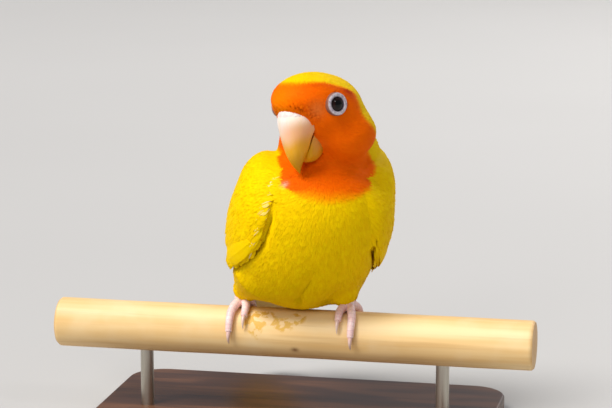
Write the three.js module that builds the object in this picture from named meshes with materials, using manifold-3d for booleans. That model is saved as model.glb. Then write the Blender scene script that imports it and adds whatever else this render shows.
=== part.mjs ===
// A peach-faced lovebird of the yellow colour, life size and still, gripping a cut length of round
// wooden perch that two short rods hold over a flat base. Millimetres, +Z up. The origin is the centre of
// the base's underside, and the perch runs along X. The bird looks roughly towards -Y, with its body and
// its head each turned.
import * as THREE from "three";
import { mergeVertices } from "three/addons/utils/BufferGeometryUtils.js";
import Module from "manifold-3d";

const wasm = await Module();
wasm.setup();

const V = (x, y, z) => new THREE.Vector3(x, y, z);
const { lerp, degToRad, smoothstep, clamp } = THREE.MathUtils;

// Driving sizes.
const GAP = 0.3; // left between pieces that touch
const PERCH_RADIUS = 8.25;
const PERCH_LENGTH = 160;
const TAIL_DROP = 23; // from the perch's axis down to the tail's tip
const TAIL_CLEARANCE = 4; // from the tail's tip down to the base
const BASE = { length: 132, depth: 92, thick: 6, corner: 12, edge: 0.8 };
const ROD = { radius: 2.2, spread: 50 };
const PERCH_HEIGHT = BASE.thick + TAIL_CLEARANCE + TAIL_DROP;

const BODY_TURN = 22; // degrees about Z, from facing straight across the perch
const BODY_LEAN = 6.5; // degrees to the bird's left
const HEAD_AT = V(0, -11, 73.2);
const HEAD_TURN = -52; // degrees in the body's frame: turned, tipped and nodded
const HEAD_TIP = -10.5;
const HEAD_NOD = 14;

const turned = (nod, tip, turn) => new THREE.Euler(degToRad(nod), degToRad(tip), degToRad(turn), "ZYX");
const frameAt = (turning, at) => new THREE.Matrix4().makeRotationFromEuler(turning).setPosition(at);
const BODY_FRAME = frameAt(turned(0, BODY_LEAN, BODY_TURN), V(0, 0, PERCH_HEIGHT));
const HEAD_FRAME = frameAt(turned(HEAD_NOD, HEAD_TIP, HEAD_TURN), HEAD_AT);
const INTO_HEAD = HEAD_FRAME.clone().invert();
const INTO_BODY = BODY_FRAME.clone().invert();

// Solids: a geometry becomes a solid to be joined and cut, and a solid becomes a geometry again.
function solid(geometry) {
  const bare = geometry.clone();
  bare.deleteAttribute("normal");
  bare.deleteAttribute("uv");
  const merged = mergeVertices(bare, 1e-4);
  return new wasm.Manifold(
    new wasm.Mesh({
      numProp: 3,
      vertProperties: new Float32Array(merged.attributes.position.array),
      triVerts: new Uint32Array(merged.index.array),
    }),
  );
}

function geometryOf(made) {
  const mesh = made.getMesh();
  const places = new Float32Array(mesh.numVert * 3);
  for (let i = 0; i < mesh.numVert; i++)
    places.set(mesh.vertProperties.subarray(i * mesh.numProp, i * mesh.numProp + 3), i * 3);
  const geometry = new THREE.BufferGeometry();
  geometry.setAttribute("position", new THREE.BufferAttribute(places, 3));
  geometry.setIndex(new THREE.BufferAttribute(new Uint32Array(mesh.triVerts), 1));
  geometry.computeVertexNormals();
  return geometry;
}

const largest = (made) => made.decompose().reduce((a, b) => (b.volume() > a.volume() ? b : a));
const joined = (solids) => largest(solids.reduce((a, b) => a.add(b)));

// A closed skin over rows of points: each row is a ring, and an end is a single point or is closed flat.
function skinOver(rows, start = null, end = null) {
  const count = rows[0].length;
  const places = rows.flat();
  const faces = [];
  const at = (row, i) => row * count + (i % count);
  for (let row = 0; row < rows.length - 1; row++)
    for (let i = 0; i < count; i++) {
      faces.push(at(row, i), at(row, i + 1), at(row + 1, i));
      faces.push(at(row, i + 1), at(row + 1, i + 1), at(row + 1, i));
    }
  const last = rows.length - 1;
  const middle = (row) => row.reduce((sum, p) => sum.add(p), V(0, 0, 0)).divideScalar(row.length);
  places.push(start ?? middle(rows[0]), end ?? middle(rows[last]));
  for (let i = 0; i < count; i++) {
    faces.push(places.length - 2, at(0, i + 1), at(0, i));
    faces.push(places.length - 1, at(last, i), at(last, i + 1));
  }
  const geometry = new THREE.BufferGeometry().setFromPoints(places);
  geometry.setIndex(faces);
  return facingOut(geometry);
}

// Turns every face round if the closed skin is inside out.
function facingOut(geometry) {
  const p = geometry.attributes.position;
  const index = geometry.index.array;
  const corner = (i) => V().fromBufferAttribute(p, index[i]);
  let volume = 0;
  for (let i = 0; i < index.length; i += 3) volume += corner(i).dot(corner(i + 1).cross(corner(i + 2)));
  for (let i = 0; volume < 0 && i < index.length; i += 3) {
    const swapped = index[i + 1];
    index[i + 1] = index[i + 2];
    index[i + 2] = swapped;
  }
  return geometry;
}

// Forms: the distance from a point to a rounded shape, less than nothing inside it.
const softly = (a, b, blend) => {
  const near = Math.max(blend - Math.abs(a - b), 0) / blend;
  return Math.min(a, b) - (near * near * blend) / 4;
};

function egg(at, radii, pitch = 0) {
  const [c, s] = [Math.cos(degToRad(pitch)), Math.sin(degToRad(pitch))];
  return (p) => {
    const [x, y, z] = [p.x - at.x, p.y - at.y, p.z - at.z];
    const [along, across] = [y * c - z * s, y * s + z * c];
    const once = Math.hypot(x / radii.x, along / radii.y, across / radii.z);
    const twice = Math.hypot(x / radii.x ** 2, along / radii.y ** 2, across / radii.z ** 2);
    return twice < 1e-9 ? -Math.min(radii.x, radii.y, radii.z) : (once * (once - 1)) / twice;
  };
}

function limb(from, to, startRadius, endRadius) {
  const along = to.clone().sub(from);
  return (p) => {
    const offset = V(p.x - from.x, p.y - from.y, p.z - from.z);
    const share = clamp(offset.dot(along) / along.lengthSq(), 0, 1);
    return offset.addScaledVector(along, -share).length() - lerp(startRadius, endRadius, share);
  };
}

const blended = (blend, forms) => (p) => forms.reduce((d, form) => softly(d, form(p), blend), Infinity);

// The head, in its own frame: it looks along -Y with +Z up.
const headForms = blended(4, [
  egg(V(0, -0.9, 3.2), V(14, 13.5, 11.9), 21), // cranium
  egg(V(0, -8.1, 9.8), V(10.1, 9.8, 6.8)), // forehead
  egg(V(7.4, 1.7, -5.2), V(8.8, 9.4, 8)), // left cheek
  egg(V(-7.4, 1.7, -5.2), V(8.8, 9.4, 8)), // right cheek
  egg(V(0, 1.1, -8.5), V(9, 5.6, 6.8)), // chin
]);
const headDistance = (p) => headForms(V(p.x, p.y, p.z).applyMatrix4(INTO_HEAD));

// The torso, in the body's frame: its axis runs back and down at BACK_SLOPE.
const BACK_SLOPE = 42;
const torsoForms = blended(7, [
  egg(V(0.8, -5.4, 40.5), V(24.5, 22, 20.4), 45), // breast
  egg(V(0, -1.5, 28), V(22.8, 20, 18.6), BACK_SLOPE), // belly
  egg(V(0, 12, 33), V(20, 24, 17), BACK_SLOPE), // back
  egg(V(0, 28, 20), V(13.5, 18, 11), BACK_SLOPE), // rump
]);
const neckForm = egg(V(6.2, 1.2, 61), V(15.9, 12.6, 12), 15);
const napeForm = egg(V(3.6, 1.4, 67.6), V(11.7, 11.6, 10.4), 40);
const shoulderForms = [egg(V(-14.5, -1, 52.6), V(4.4, 6, 4.6)), egg(V(18.8, -4, 53), V(5, 7, 6.5))];
const fleshDistance = (p) => {
  const neck = softly(softly(torsoForms(p), neckForm(p), 8), napeForm(p), 6);
  const shoulders = shoulderForms.reduce((d, form) => softly(d, form(p), 6), neck);
  return softly(shoulders, headDistance(p), 7);
};

// Casts from a point inside a form outwards, and gives how far the form's outermost surface lies.
function reach(distance, from, towards, far = 70) {
  let t = far;
  for (let step = 0; step < 60; step++) {
    const d = distance(from.clone().addScaledVector(towards, t));
    if (Math.abs(d) < 0.01) break;
    t = clamp(t - 0.85 * d, 0, far);
  }
  return t;
}

// The whole body's skin: rings round a spine from the rump to the crown, fanned out at both ends.
const SPINE_POINTS = [V(0, 33, 15), V(0, 18, 27), V(0, 4, 39), V(0, -4, 51), V(0, -6, 61), HEAD_AT];
const SPINE = new THREE.CatmullRomCurve3(SPINE_POINTS);
const RUMP_FAN = 0.12;
const CROWN_FAN = 0.32;
const RING_ROWS = 38;
const RING_SIDES = 30;

function bodyRay(share, angle) {
  const along = clamp((share - RUMP_FAN) / (1 - RUMP_FAN - CROWN_FAN), 0, 1);
  const from = SPINE.getPoint(along);
  const tangent = SPINE.getTangent(along);
  const side = V(1, 0, 0);
  const back = tangent.clone().cross(side).negate();
  const crown = Math.max(0, (share - 1 + CROWN_FAN) / CROWN_FAN);
  const fan = degToRad(90 * (share < RUMP_FAN ? share / RUMP_FAN - 1 : crown));
  const [c, s] = [Math.cos(fan), Math.sin(fan)];
  const out = side.multiplyScalar(Math.sin(angle)).addScaledVector(back, Math.cos(angle));
  return { from, towards: out.multiplyScalar(c).addScaledVector(tangent, s) };
}

function bodySolid(grow = 0) {
  const point = (share, angle) => {
    const { from, towards } = bodyRay(share, angle);
    return from.clone().addScaledVector(towards, reach(fleshDistance, from, towards) + grow);
  };
  const rows = [];
  for (let row = 1; row < RING_ROWS; row++) {
    const ring = [];
    for (let i = 0; i < RING_SIDES; i++) ring.push(point(row / RING_ROWS, (2 * Math.PI * i) / RING_SIDES));
    rows.push(ring);
  }
  return solid(skinOver(rows, point(0, 0), point(1, 0)));
}

// A thin slab that parts the body: square to the direction given, through the point given.
function parting(at, square) {
  const slab = new THREE.BoxGeometry(120, 120, GAP);
  slab.applyQuaternion(new THREE.Quaternion().setFromUnitVectors(V(0, 0, 1), square.clone().normalize()));
  return solid(slab.translate(at.x, at.y, at.z));
}

const BACK_AXIS = V(0, Math.cos(degToRad(BACK_SLOPE)), -Math.sin(degToRad(BACK_SLOPE)));
const BACK_UP = V(0, Math.sin(degToRad(BACK_SLOPE)), Math.cos(degToRad(BACK_SLOPE)));
const TAIL_CUT = { at: V(0, 34, 15), square: BACK_AXIS };
const NECK_CUT = { at: V(0, -4, 55), square: V(0, -0.22, 1) };
const HEAD_CUT = { at: V(0, -4, 63.5), square: V(0.1, -0.16, 1) };

// Eyes: an eyeball, and round it a bare ring of skin with a lid's edge, each turned round the eye's axis
// and set in a socket in the head. Heights are along the axis, from the plane of the face.
const EYE_AT = V(12.5, -6.5, 6.8);
const EYE_FACING = V(0.97, -0.24, 0.09).normalize();
const EYE = { radius: 3.3, proud: 1.15 };
const EYE_RING = { opening: 2.3, outer: 3.7, proud: 0.75 };
const EYE_SIDES = 12;

function turnedRound(profile, side) {
  const towards = V(EYE_FACING.x * side, EYE_FACING.y, EYE_FACING.z);
  const outline = profile.map(([x, y]) => new THREE.Vector2(Math.max(x, 0), y));
  const geometry = new THREE.LatheGeometry(outline, EYE_SIDES);
  geometry.applyQuaternion(new THREE.Quaternion().setFromUnitVectors(V(0, 1, 0), towards));
  return solid(facingOut(geometry.translate(EYE_AT.x * side, EYE_AT.y, EYE_AT.z)));
}

// Points of a sphere about the eyeball's centre, between two angles from the eye's axis.
function eyeArc(radius, from, to, steps) {
  const points = [];
  for (let i = 0; i <= steps; i++) {
    const angle = degToRad(lerp(from, to, i / steps));
    points.push([radius * Math.sin(angle), EYE.proud - EYE.radius + radius * Math.cos(angle)]);
  }
  return points;
}

function eyeParts(side) {
  const { opening, outer, proud } = EYE_RING;
  const room = EYE.radius + GAP;
  const lip = THREE.MathUtils.radToDeg(Math.asin(opening / room));
  const inner = eyeArc(room, lip, 90, 3);
  const level = EYE.proud - EYE.radius;
  const ring = [...inner, [outer, level], [outer, 0], [outer - 0.2, proud * 0.5], [outer - 0.75, proud]];
  ring.push([opening + 0.1, proud * 0.95], inner[0]);
  const socket = [...eyeArc(room, 180, 90, 4), [outer + GAP, level - GAP], [outer + GAP, 4], [0, 4]];
  socket.splice(4, 1, [room, level - GAP]);
  return {
    ball: turnedRound(eyeArc(EYE.radius, 180, 0, 8), side),
    ring: turnedRound(ring, side),
    socket: turnedRound(socket, side),
  };
}

// The bill, in the head's frame: each half is a row of arches from its ridge round to its cutting edges.
// An arch gives its ridge and its edges as how far forward and how high they are, and half the width
// between the edges.
const UPPER_BILL = [
  { ridge: [12, 10], edge: [6.5, 2.4], half: 5.4 },
  { ridge: [16.4, 8.4], edge: [9, 1.8], half: 6.3 },
  { ridge: [18.7, 5.2], edge: [10.8, 0.8], half: 6.3 },
  { ridge: [19.1, 0.9], edge: [12, -0.8], half: 5.6 },
  { ridge: [19.3, -3.2], edge: [12.8, -3], half: 4.6 },
  { ridge: [19.1, -7], edge: [13.3, -5.6], half: 3.5 },
  { ridge: [18.1, -10], edge: [14.4, -8.4], half: 2.2 },
  { ridge: [16.9, -12], edge: [15.5, -10.8], half: 1.1 },
];
const UPPER_TIP = [15.9, -13.5];
const LOWER_BILL = [
  { ridge: [3.2, -7.6], edge: [7, 0.6], half: 4.3 },
  { ridge: [5.6, -10], edge: [9.4, -0.6], half: 4.8 },
  { ridge: [8.4, -11.2], edge: [11.1, -2], half: 4.7 },
  { ridge: [11, -11], edge: [12.4, -4.2], half: 4.2 },
  { ridge: [12.9, -10.2], edge: [13.2, -6.4], half: 3.3 },
];
const LOWER_TIP = [13.8, -8];
const ARCH_SIDES = 10;
const BILL_FULLNESS = 0.75; // under 1 makes an arch's sides fuller

// A half of the bill, or the room it needs in what it passes into.
function bill(arches, tip, grow = 0) {
  const forward = Math.sign(tip[1] - arches[0].ridge[1]) * grow;
  const rows = arches.map(({ ridge, edge, half }) => {
    const [dy, dz] = [ridge[0] - edge[0], ridge[1] - edge[1]];
    const size = Math.hypot(dy, dz);
    const [gy, gz] = [(dy / size) * grow, (dz / size) * grow];
    const row = [];
    for (let i = 0; i <= ARCH_SIDES; i++) {
      const angle = Math.PI * (i / ARCH_SIDES - 0.5);
      const up = Math.abs(Math.cos(angle)) ** BILL_FULLNESS;
      const y = lerp(edge[0] - gy, ridge[0] + gy, up);
      row.push(V((half + grow) * Math.sin(angle), -y, lerp(edge[1] - gz, ridge[1] + gz, up)));
    }
    return row;
  });
  return solid(skinOver(rows, null, V(0, -tip[0], tip[1] + forward)));
}

// The cere is the swollen bare root of the upper bill, with a nostril sunk in each side of it.
const CERE_CUT = { at: V(0, -18.6, 5.2), square: V(0, 0.3, 1) };
const CERE_SWELL = 0.35;
const NOSTRIL = { at: V(4.7, -16.1, 6.3), radius: 0.6 };

function headParts(headSkin, neckSkin) {
  const upper = bill(UPPER_BILL, UPPER_TIP);
  const upperRoom = bill(UPPER_BILL, UPPER_TIP, GAP);
  const lower = bill(LOWER_BILL, LOWER_TIP).subtract(upperRoom);
  const lowerRoom = bill(LOWER_BILL, LOWER_TIP, GAP);
  const swollen = bill(UPPER_BILL, UPPER_TIP, CERE_SWELL);
  const roomy = bill(UPPER_BILL, UPPER_TIP, CERE_SWELL + GAP);
  const above = CERE_CUT.square.clone().normalize();
  const level = CERE_CUT.at.dot(above);
  const nostrils = [1, -1].map((side) => {
    const { at, radius } = NOSTRIL;
    return solid(new THREE.SphereGeometry(radius, 8, 6).translate(at.x * side, at.y, at.z));
  });
  const root = swollen.trimByPlane(above.toArray(), level + GAP);
  const cere = nostrils.reduce((made, hole) => made.subtract(hole), root);
  const cereRoom = roomy.trimByPlane(above.toArray(), level);
  const left = eyeParts(1);
  const right = eyeParts(-1);
  const intoHead = (made) => made.transform(HEAD_FRAME.elements);
  const rooms = [upperRoom, lowerRoom, cereRoom, left.socket, right.socket];
  const roomMade = (skin) => largest(rooms.reduce((made, room) => made.subtract(intoHead(room)), skin));
  return {
    head: roomMade(headSkin),
    neck: roomMade(neckSkin),
    bill_upper: upper.trimByPlane(above.clone().negate().toArray(), -level),
    bill_lower: largest(lower),
    cere: largest(cere),
    eye_left: left.ball,
    eye_right: right.ball,
    eye_ring_left: left.ring,
    eye_ring_right: right.ring,
  };
}

// Wings and tail lie on a mantle: the body drawn out backwards over the tail.
const mantle = (p) => softly(fleshDistance(p), tailRoom(p), 6);
const tailRoom = egg(V(0, 30, 19), V(12.5, 44, 10.5), BACK_SLOPE);
const MANTLE_FROM = V(0, -4, 47);

// A place on a side's mantle: how far along the back's axis, how many degrees round from the back's ridge
// to the breast, and how far out from it.
function onMantle(side, place, round, out) {
  const from = MANTLE_FROM.clone().addScaledVector(BACK_AXIS, place);
  const [c, s] = [Math.cos(degToRad(round)), Math.sin(degToRad(round))];
  const towards = BACK_UP.clone().multiplyScalar(c).add(V(s * side, 0, 0));
  const radius = reach(mantle, from, towards, 60);
  return { point: from.addScaledVector(towards, radius + out), radius };
}

// Reads a value off a row of [place, value] pairs, between which it runs straight.
function along(pairs, place) {
  const next = clamp(pairs.findIndex(([at]) => at >= place), 1, pairs.length - 1);
  const [[a, low], [b, high]] = [pairs[next - 1], pairs[next]];
  return lerp(low, high, clamp((place - a) / (b - a), 0, 1));
}

// A thin closed sheet between two grids of points, with triangles alike on both faces.
function sheet(top, bottom) {
  const [rows, columns] = [top.length, top[0].length];
  const faces = [];
  const at = (face, row, i) => (face * rows + row) * columns + i;
  const wall = (row, i, nextRow, nextI) => {
    faces.push(at(0, row, i), at(1, row, i), at(0, nextRow, nextI));
    faces.push(at(1, row, i), at(1, nextRow, nextI), at(0, nextRow, nextI));
  };
  for (let row = 0; row < rows - 1; row++) {
    for (let i = 0; i < columns - 1; i++) {
      faces.push(at(0, row, i), at(0, row, i + 1), at(0, row + 1, i));
      faces.push(at(0, row, i + 1), at(0, row + 1, i + 1), at(0, row + 1, i));
      faces.push(at(1, row, i + 1), at(1, row, i), at(1, row + 1, i));
      faces.push(at(1, row + 1, i + 1), at(1, row, i + 1), at(1, row + 1, i));
    }
    wall(row + 1, 0, row, 0);
    wall(row, columns - 1, row + 1, columns - 1);
  }
  for (let i = 0; i < columns - 1; i++) {
    wall(0, i, 0, i + 1);
    wall(rows - 1, i + 1, rows - 1, i);
  }
  const geometry = new THREE.BufferGeometry().setFromPoints([...top.flat(), ...bottom.flat()]);
  geometry.setIndex(faces);
  return solid(facingOut(geometry));
}

// A feather's vane: a thin blade along a middle line, leaning to one side.
const VANE_THICK = 0.52;
function vane({ steps, line, half, lean = 0 }) {
  const grid = (out) =>
    Array.from({ length: steps + 1 }, (_, i) =>
      [-1, 1].map((side) => line(i / steps, side * half(i / steps), out + side * lean)),
    );
  return sheet(grid(VANE_THICK / 2), grid(-VANE_THICK / 2));
}

// How wide a vane is along its length: narrower at the root, full by a third, round at the tip.
function vaneWidth(width, t) {
  const rounding = Math.max(0, (t - 0.66) / 0.36);
  return width * Math.min(0.55 + 1.4 * t, 1) * Math.sqrt(Math.max(1 - rounding ** 2, 0.1));
}

// The folded wing's outline on the mantle, in degrees round at each place along it.
// The left wing doesn't reach as far round its side of the breast, by LEFT_TUCK at each place.
const WING_FRONT = -15.5;
const WING_FOOT = [
  [-15.5, 104], [-13, 124], [-9, 133], [-1, 139], [9, 134], [16, 130], [30, 112], [45, 95], [60, 78],
  [80, 56],
];
const LEFT_TUCK = [[-15.5, 0], [-9, 6], [16, 6], [30, 0]];
const WING_TOP = [[-15.5, 92], [-12, 76], [-9, 63], [-3, 46], [10, 24], [28, 11], [60, 9], [80, 22]];
const wingRound = (side, place, across) => {
  const foot = along(WING_FOOT, place) - (side > 0 ? along(LEFT_TUCK, place) : 0);
  return lerp(along(WING_TOP, place), foot, across);
};
const WING_PAD = { end: 42, thick: 1, rows: 8, columns: 6, edge: 0.5, lift: 0.55 };

// A sheet over the wing's outline between two heights, each a function of how full the wing is at a place.
function wingSheet(side, high, low) {
  const { end, rows, columns } = WING_PAD;
  const grid = (height) =>
    Array.from({ length: rows + 1 }, (_, i) =>
      Array.from({ length: columns + 1 }, (_, j) => {
        const place = lerp(WING_FRONT, end, (i / rows) ** 1.3);
        const round = wingRound(side, place, lerp(0.03, 0.97, j / columns));
        const lengthwise = Math.sin(Math.PI * lerp(0.1, 0.96, i / rows));
        const full = Math.sqrt(lengthwise * Math.sin((Math.PI * j) / columns));
        return onMantle(side, place, round, height(full)).point;
      }),
    );
  return sheet(grid(high), grid(low));
}

// The wing's own flesh and small feathers: a pad from the shoulder back, thin at its rim.
const wingPad = (side) => {
  const low = GAP + WING_PAD.lift;
  return wingSheet(side, (full) => low + WING_PAD.edge + WING_PAD.thick * full, () => low);
};

// The room that a wing needs in what it lies over.
const wingRoom = (side) => wingSheet(side, () => 6, () => -1);

// The tiers of a wing's feathers: how many, steps along each, where the roots and tips of the upper and the
// lower one lie along the back's axis, and the part of the wing across which they spread. Then the half
// width of each tier's vanes, the heights of root and tip, and how far each vane leans over the next.
const WING_TIERS = [
  { name: "primaries", count: 5, steps: 4, roots: [40, 30], tips: [66, 80], span: [0.34, 0.93] },
  { name: "secondaries", count: 5, steps: 4, roots: [24, 22], tips: [61, 50], span: [0.08, 0.66] },
  { name: "primary coverts", count: 3, steps: 3, roots: [22, 20], tips: [37, 42], span: [0.74, 0.94] },
  { name: "greater coverts", count: 5, steps: 3, roots: [12, 8], tips: [33, 29], span: [0.11, 0.92] },
  { name: "median coverts", count: 5, steps: 3, roots: [-3, -6], tips: [18, 15], span: [0.14, 0.9] },
];
const WING_SHAPES = {
  primaries: { width: 2.6, rise: [1.2, 1.4], lean: 0.7 },
  secondaries: { width: 4.2, rise: [1.5, 2.2], lean: 0.6 },
  "primary coverts": { width: 3, rise: [1.4, 2.2], lean: 0.5 },
  "greater coverts": { width: 4.3, rise: [1.7, 2.8], lean: 0.45 },
  "median coverts": { width: 4.4, rise: [1.6, 2.7], lean: 0.45 },
};

function wingVanes({ name, count, steps, roots, tips, span }, side) {
  const { width, rise, lean } = WING_SHAPES[name];
  const made = [];
  for (let i = 0; i < count; i++) {
    const share = i / (count - 1);
    const across = lerp(span[0], span[1], share);
    const [root, tip] = [lerp(roots[0], roots[1], share), lerp(tips[0], tips[1], share)];
    const line = (t, aside, out) => {
      const place = lerp(root, tip, t);
      const round = wingRound(side, place, across);
      const turn = THREE.MathUtils.radToDeg(aside / Math.max(onMantle(side, place, round, 0).radius, 5));
      const height = Math.max(lerp(rise[0], rise[1], t) + out, GAP + WING_PAD.lift + 0.1);
      return onMantle(side, place, Math.max(round + turn, 5), height).point;
    };
    made.push(vane({ steps, line, half: (t) => vaneWidth(width, t), lean: -lean }));
  }
  return made;
}

function wing(side, bodyRoom) {
  const made = joined([wingPad(side), ...WING_TIERS.flatMap((tier) => wingVanes(tier, side))]);
  return largest(made.subtract(bodyRoom));
}

// The tail: vanes fanned from the rump in two sides' tiers, the middle one on top, with coverts above and
// below them.
const TAIL_FROM = V(0, 33, 13.5);
const TAIL_FAN = { angle: 9, rootWidth: 5.4 };
const TAIL_ROWS = [
  // pairs of vanes beside the middle one, roots and tips along the tail, how far the outermost falls short,
  // the half width, the heights of root and tip, how each leans outwards, and steps along it: the tail
  // feathers, then the coverts above and below them
  { pairs: 5, root: 2, tip: 50, short: 12, width: 3.7, high: [0.4, -0.8], lean: 0.95, steps: 4 },
  { pairs: 2, root: 1, tip: 30, short: 6, width: 3.6, high: [3.4, 1.9], lean: 0.6, steps: 2 },
  { pairs: 2, root: 1, tip: 27, short: 5, width: 3.6, high: [-3.6, -3.8], lean: -0.6, steps: 2 },
];

function tailVanes({ pairs, root, tip, short, width, high, lean, steps }) {
  const made = [];
  for (let i = -pairs; i <= pairs; i++) {
    const outward = i / (pairs + 0.5);
    const angle = degToRad(TAIL_FAN.angle * outward);
    const end = tip - short * Math.abs(outward) ** 1.6;
    const middle = i === 0 ? lean : 0;
    const line = (t, aside, out) => {
      const place = lerp(root, end, t);
      const lateral = outward * TAIL_FAN.rootWidth + Math.tan(angle) * place + aside;
      const height = lerp(high[0], high[1], t) + middle + out;
      const at = TAIL_FROM.clone().add(V(lateral, 0, 0));
      return at.addScaledVector(BACK_AXIS, place).addScaledVector(BACK_UP, height);
    };
    made.push(vane({ steps, line, half: (t) => vaneWidth(width, t), lean: Math.sign(i) * lean }));
  }
  return made;
}

// Legs: a feathered thigh down to each ankle, and a foot whose toes wrap the perch, two in front and two
// behind.
const FOOT_AT = { left: 18.6, right: -17.2 }; // along the perch
const HIP = V(13, 0, 19.5);
const THIGH = { hip: 10, ankle: 4.3, height: 14.2, inward: 0.92, rows: 10, sides: 14 };
const SHANK = { radius: 2.5, height: 5.2 };
const TOE = { root: 1.75, tip: 1.15, pads: 0.14, sides: 8, step: 13 };
const CLAW = { root: 0.95, arc: 24, lift: 0.7, sides: 6, steps: 4 };
const TOES = [
  // name, how far it leans outwards along the perch, degrees round the perch at its end, front or back
  { name: "outer_front", lean: 2.4, end: 82, front: 1 },
  { name: "inner_front", lean: -2.2, end: 48, front: 1 },
  { name: "outer_back", lean: 2.4, end: 78, front: -1 },
  { name: "inner_back", lean: -2.3, end: 50, front: -1 },
];

// A point at an angle round the perch from its top, towards the front if positive.
function roundPerch(x, degrees, radius) {
  const angle = degToRad(degrees);
  return V(x, -radius * Math.sin(angle), radius * Math.cos(angle));
}

function tubeRoundPerch(path, sides, grow = 0) {
  const rows = path.map(({ x, degrees, radius, thick }) => {
    const out = roundPerch(0, degrees, 1);
    const wide = thick + grow;
    const ring = [];
    for (let i = 0; i < sides; i++) {
      const angle = (2 * Math.PI * i) / sides;
      const aside = V(wide * Math.sin(angle), 0, 0);
      ring.push(roundPerch(x, degrees, radius).add(aside).addScaledVector(out, wide * Math.cos(angle)));
    }
    return ring;
  });
  return solid(skinOver(rows));
}

function toe({ lean, end, front }, at, grow) {
  const side = Math.sign(at);
  const steps = Math.round(end / TOE.step);
  const path = [];
  for (let i = 0; i <= steps; i++) {
    const t = i / steps;
    const pad = 1 + TOE.pads * Math.cos(6 * Math.PI * t);
    const thick = lerp(TOE.root, TOE.tip, t) * pad;
    const x = at + side * lean * Math.sin((Math.PI / 2) * Math.min(t * 1.6, 1));
    path.push({ x, degrees: front * lerp(-4, end, t), radius: PERCH_RADIUS + GAP + thick, thick });
  }
  return tubeRoundPerch(path, TOE.sides, grow);
}

function claw({ lean, end, front }, at) {
  const path = [];
  for (let i = 0; i <= CLAW.steps; i++) {
    const t = i / CLAW.steps;
    const thick = CLAW.root * (1 - 0.93 * t ** 1.3);
    const lift = CLAW.lift * Math.sin(Math.PI * t) + TOE.tip - CLAW.root;
    const x = at + Math.sign(at) * lean;
    const degrees = front * (end + 2 + CLAW.arc * t);
    path.push({ x, degrees, radius: PERCH_RADIUS + GAP + thick + lift, thick });
  }
  return tubeRoundPerch(path, CLAW.sides);
}

// A foot on the perch, or the room it needs in what it comes out of.
function foot(at, grow = 0) {
  const { radius, height } = SHANK;
  const shank = new THREE.SphereGeometry(1, 10, 8).scale(radius + grow, radius + grow, height / 2 + grow);
  shank.translate(at, 0.4, PERCH_RADIUS + GAP + 0.1 + height / 2);
  return joined([solid(shank), ...TOES.map((one) => toe(one, at, grow))]);
}

function thighSolid(side, at) {
  const hip = V(HIP.x * side, HIP.y, HIP.z);
  const ankle = V(at * THIGH.inward, 0.6, PERCH_HEIGHT + THIGH.height).applyMatrix4(INTO_BODY);
  const form = limb(hip, ankle, THIGH.hip, THIGH.ankle);
  const axis = ankle.clone().sub(hip).normalize();
  const across = axis.clone().cross(V(0, 1, 0)).normalize();
  const third = axis.clone().cross(across);
  const outwards = (from, towards) => from.clone().addScaledVector(towards, reach(form, from, towards, 30));
  const rows = [];
  for (let i = 1; i < THIGH.rows; i++) {
    const fan = degToRad(lerp(-90, 90, i / THIGH.rows));
    const from = hip.clone().lerp(ankle, smoothstep(i / THIGH.rows, 0.25, 0.75));
    const ring = [];
    for (let j = 0; j < THIGH.sides; j++) {
      const angle = (2 * Math.PI * j) / THIGH.sides;
      const out = across.clone().multiplyScalar(Math.cos(angle)).addScaledVector(third, Math.sin(angle));
      ring.push(outwards(from, out.multiplyScalar(Math.cos(fan)).addScaledVector(axis, Math.sin(fan))));
    }
    rows.push(ring);
  }
  return solid(skinOver(rows, outwards(hip, axis.clone().negate()), outwards(ankle, axis)));
}

// The stand: a flat base with round corners, and two rods up to the perch.
function roundedBoard({ length, depth, thick, corner, edge }) {
  const [x, y] = [length / 2 - edge, depth / 2 - edge];
  const shape = new THREE.Shape();
  shape.moveTo(-x + corner, -y);
  shape.lineTo(x - corner, -y);
  shape.absarc(x - corner, -y + corner, corner, -Math.PI / 2, 0);
  shape.lineTo(x, y - corner);
  shape.absarc(x - corner, y - corner, corner, 0, Math.PI / 2);
  shape.lineTo(-x + corner, y);
  shape.absarc(-x + corner, y - corner, corner, Math.PI / 2, Math.PI);
  shape.lineTo(-x, -y + corner);
  shape.absarc(-x + corner, -y + corner, corner, Math.PI, 1.5 * Math.PI);
  const bevel = { bevelEnabled: true, bevelThickness: edge, bevelSize: edge, bevelSegments: 1 };
  const board = new THREE.ExtrudeGeometry(shape, { depth: thick - 2 * edge, curveSegments: 4, ...bevel });
  return board.translate(0, 0, edge);
}

function perchGeometry(margin = 0, sides = 48) {
  const radius = PERCH_RADIUS + margin;
  return new THREE.CylinderGeometry(radius, radius, PERCH_LENGTH, sides).rotateZ(Math.PI / 2);
}

function rodSolid() {
  const length = PERCH_HEIGHT - BASE.thick - GAP;
  const rod = new THREE.CylinderGeometry(ROD.radius, ROD.radius, length, 20).rotateX(Math.PI / 2);
  rod.translate(0, 0, BASE.thick + GAP + length / 2);
  return largest(solid(rod).subtract(solid(perchGeometry(GAP, 64).translate(0, 0, PERCH_HEIGHT))));
}

// The finish of each material: colour, roughness and metalness.
const FINISH = {
  yellow_plumage: ["#f2c400", 0.75, 0],
  peach_plumage: ["#f0600f", 0.75, 0],
  bill_horn: ["#e8c79a", 0.35, 0],
  bare_skin: ["#d9c6d3", 0.6, 0],
  eye_dark: ["#120506", 0.08, 0],
  foot_skin: ["#dba9a6", 0.6, 0],
  claw_horn: ["#d8b3a4", 0.4, 0],
  perch_wood: ["#dcb069", 0.6, 0],
  stand_wood: ["#6b4630", 0.55, 0],
  stand_metal: ["#b9b4a8", 0.35, 1],
};
const materials = Object.fromEntries(
  Object.entries(FINISH).map(([name, [color, roughness, metalness]]) => [
    name,
    new THREE.MeshStandardMaterial({ name, color, roughness, metalness, side: THREE.DoubleSide }),
  ]),
);

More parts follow.
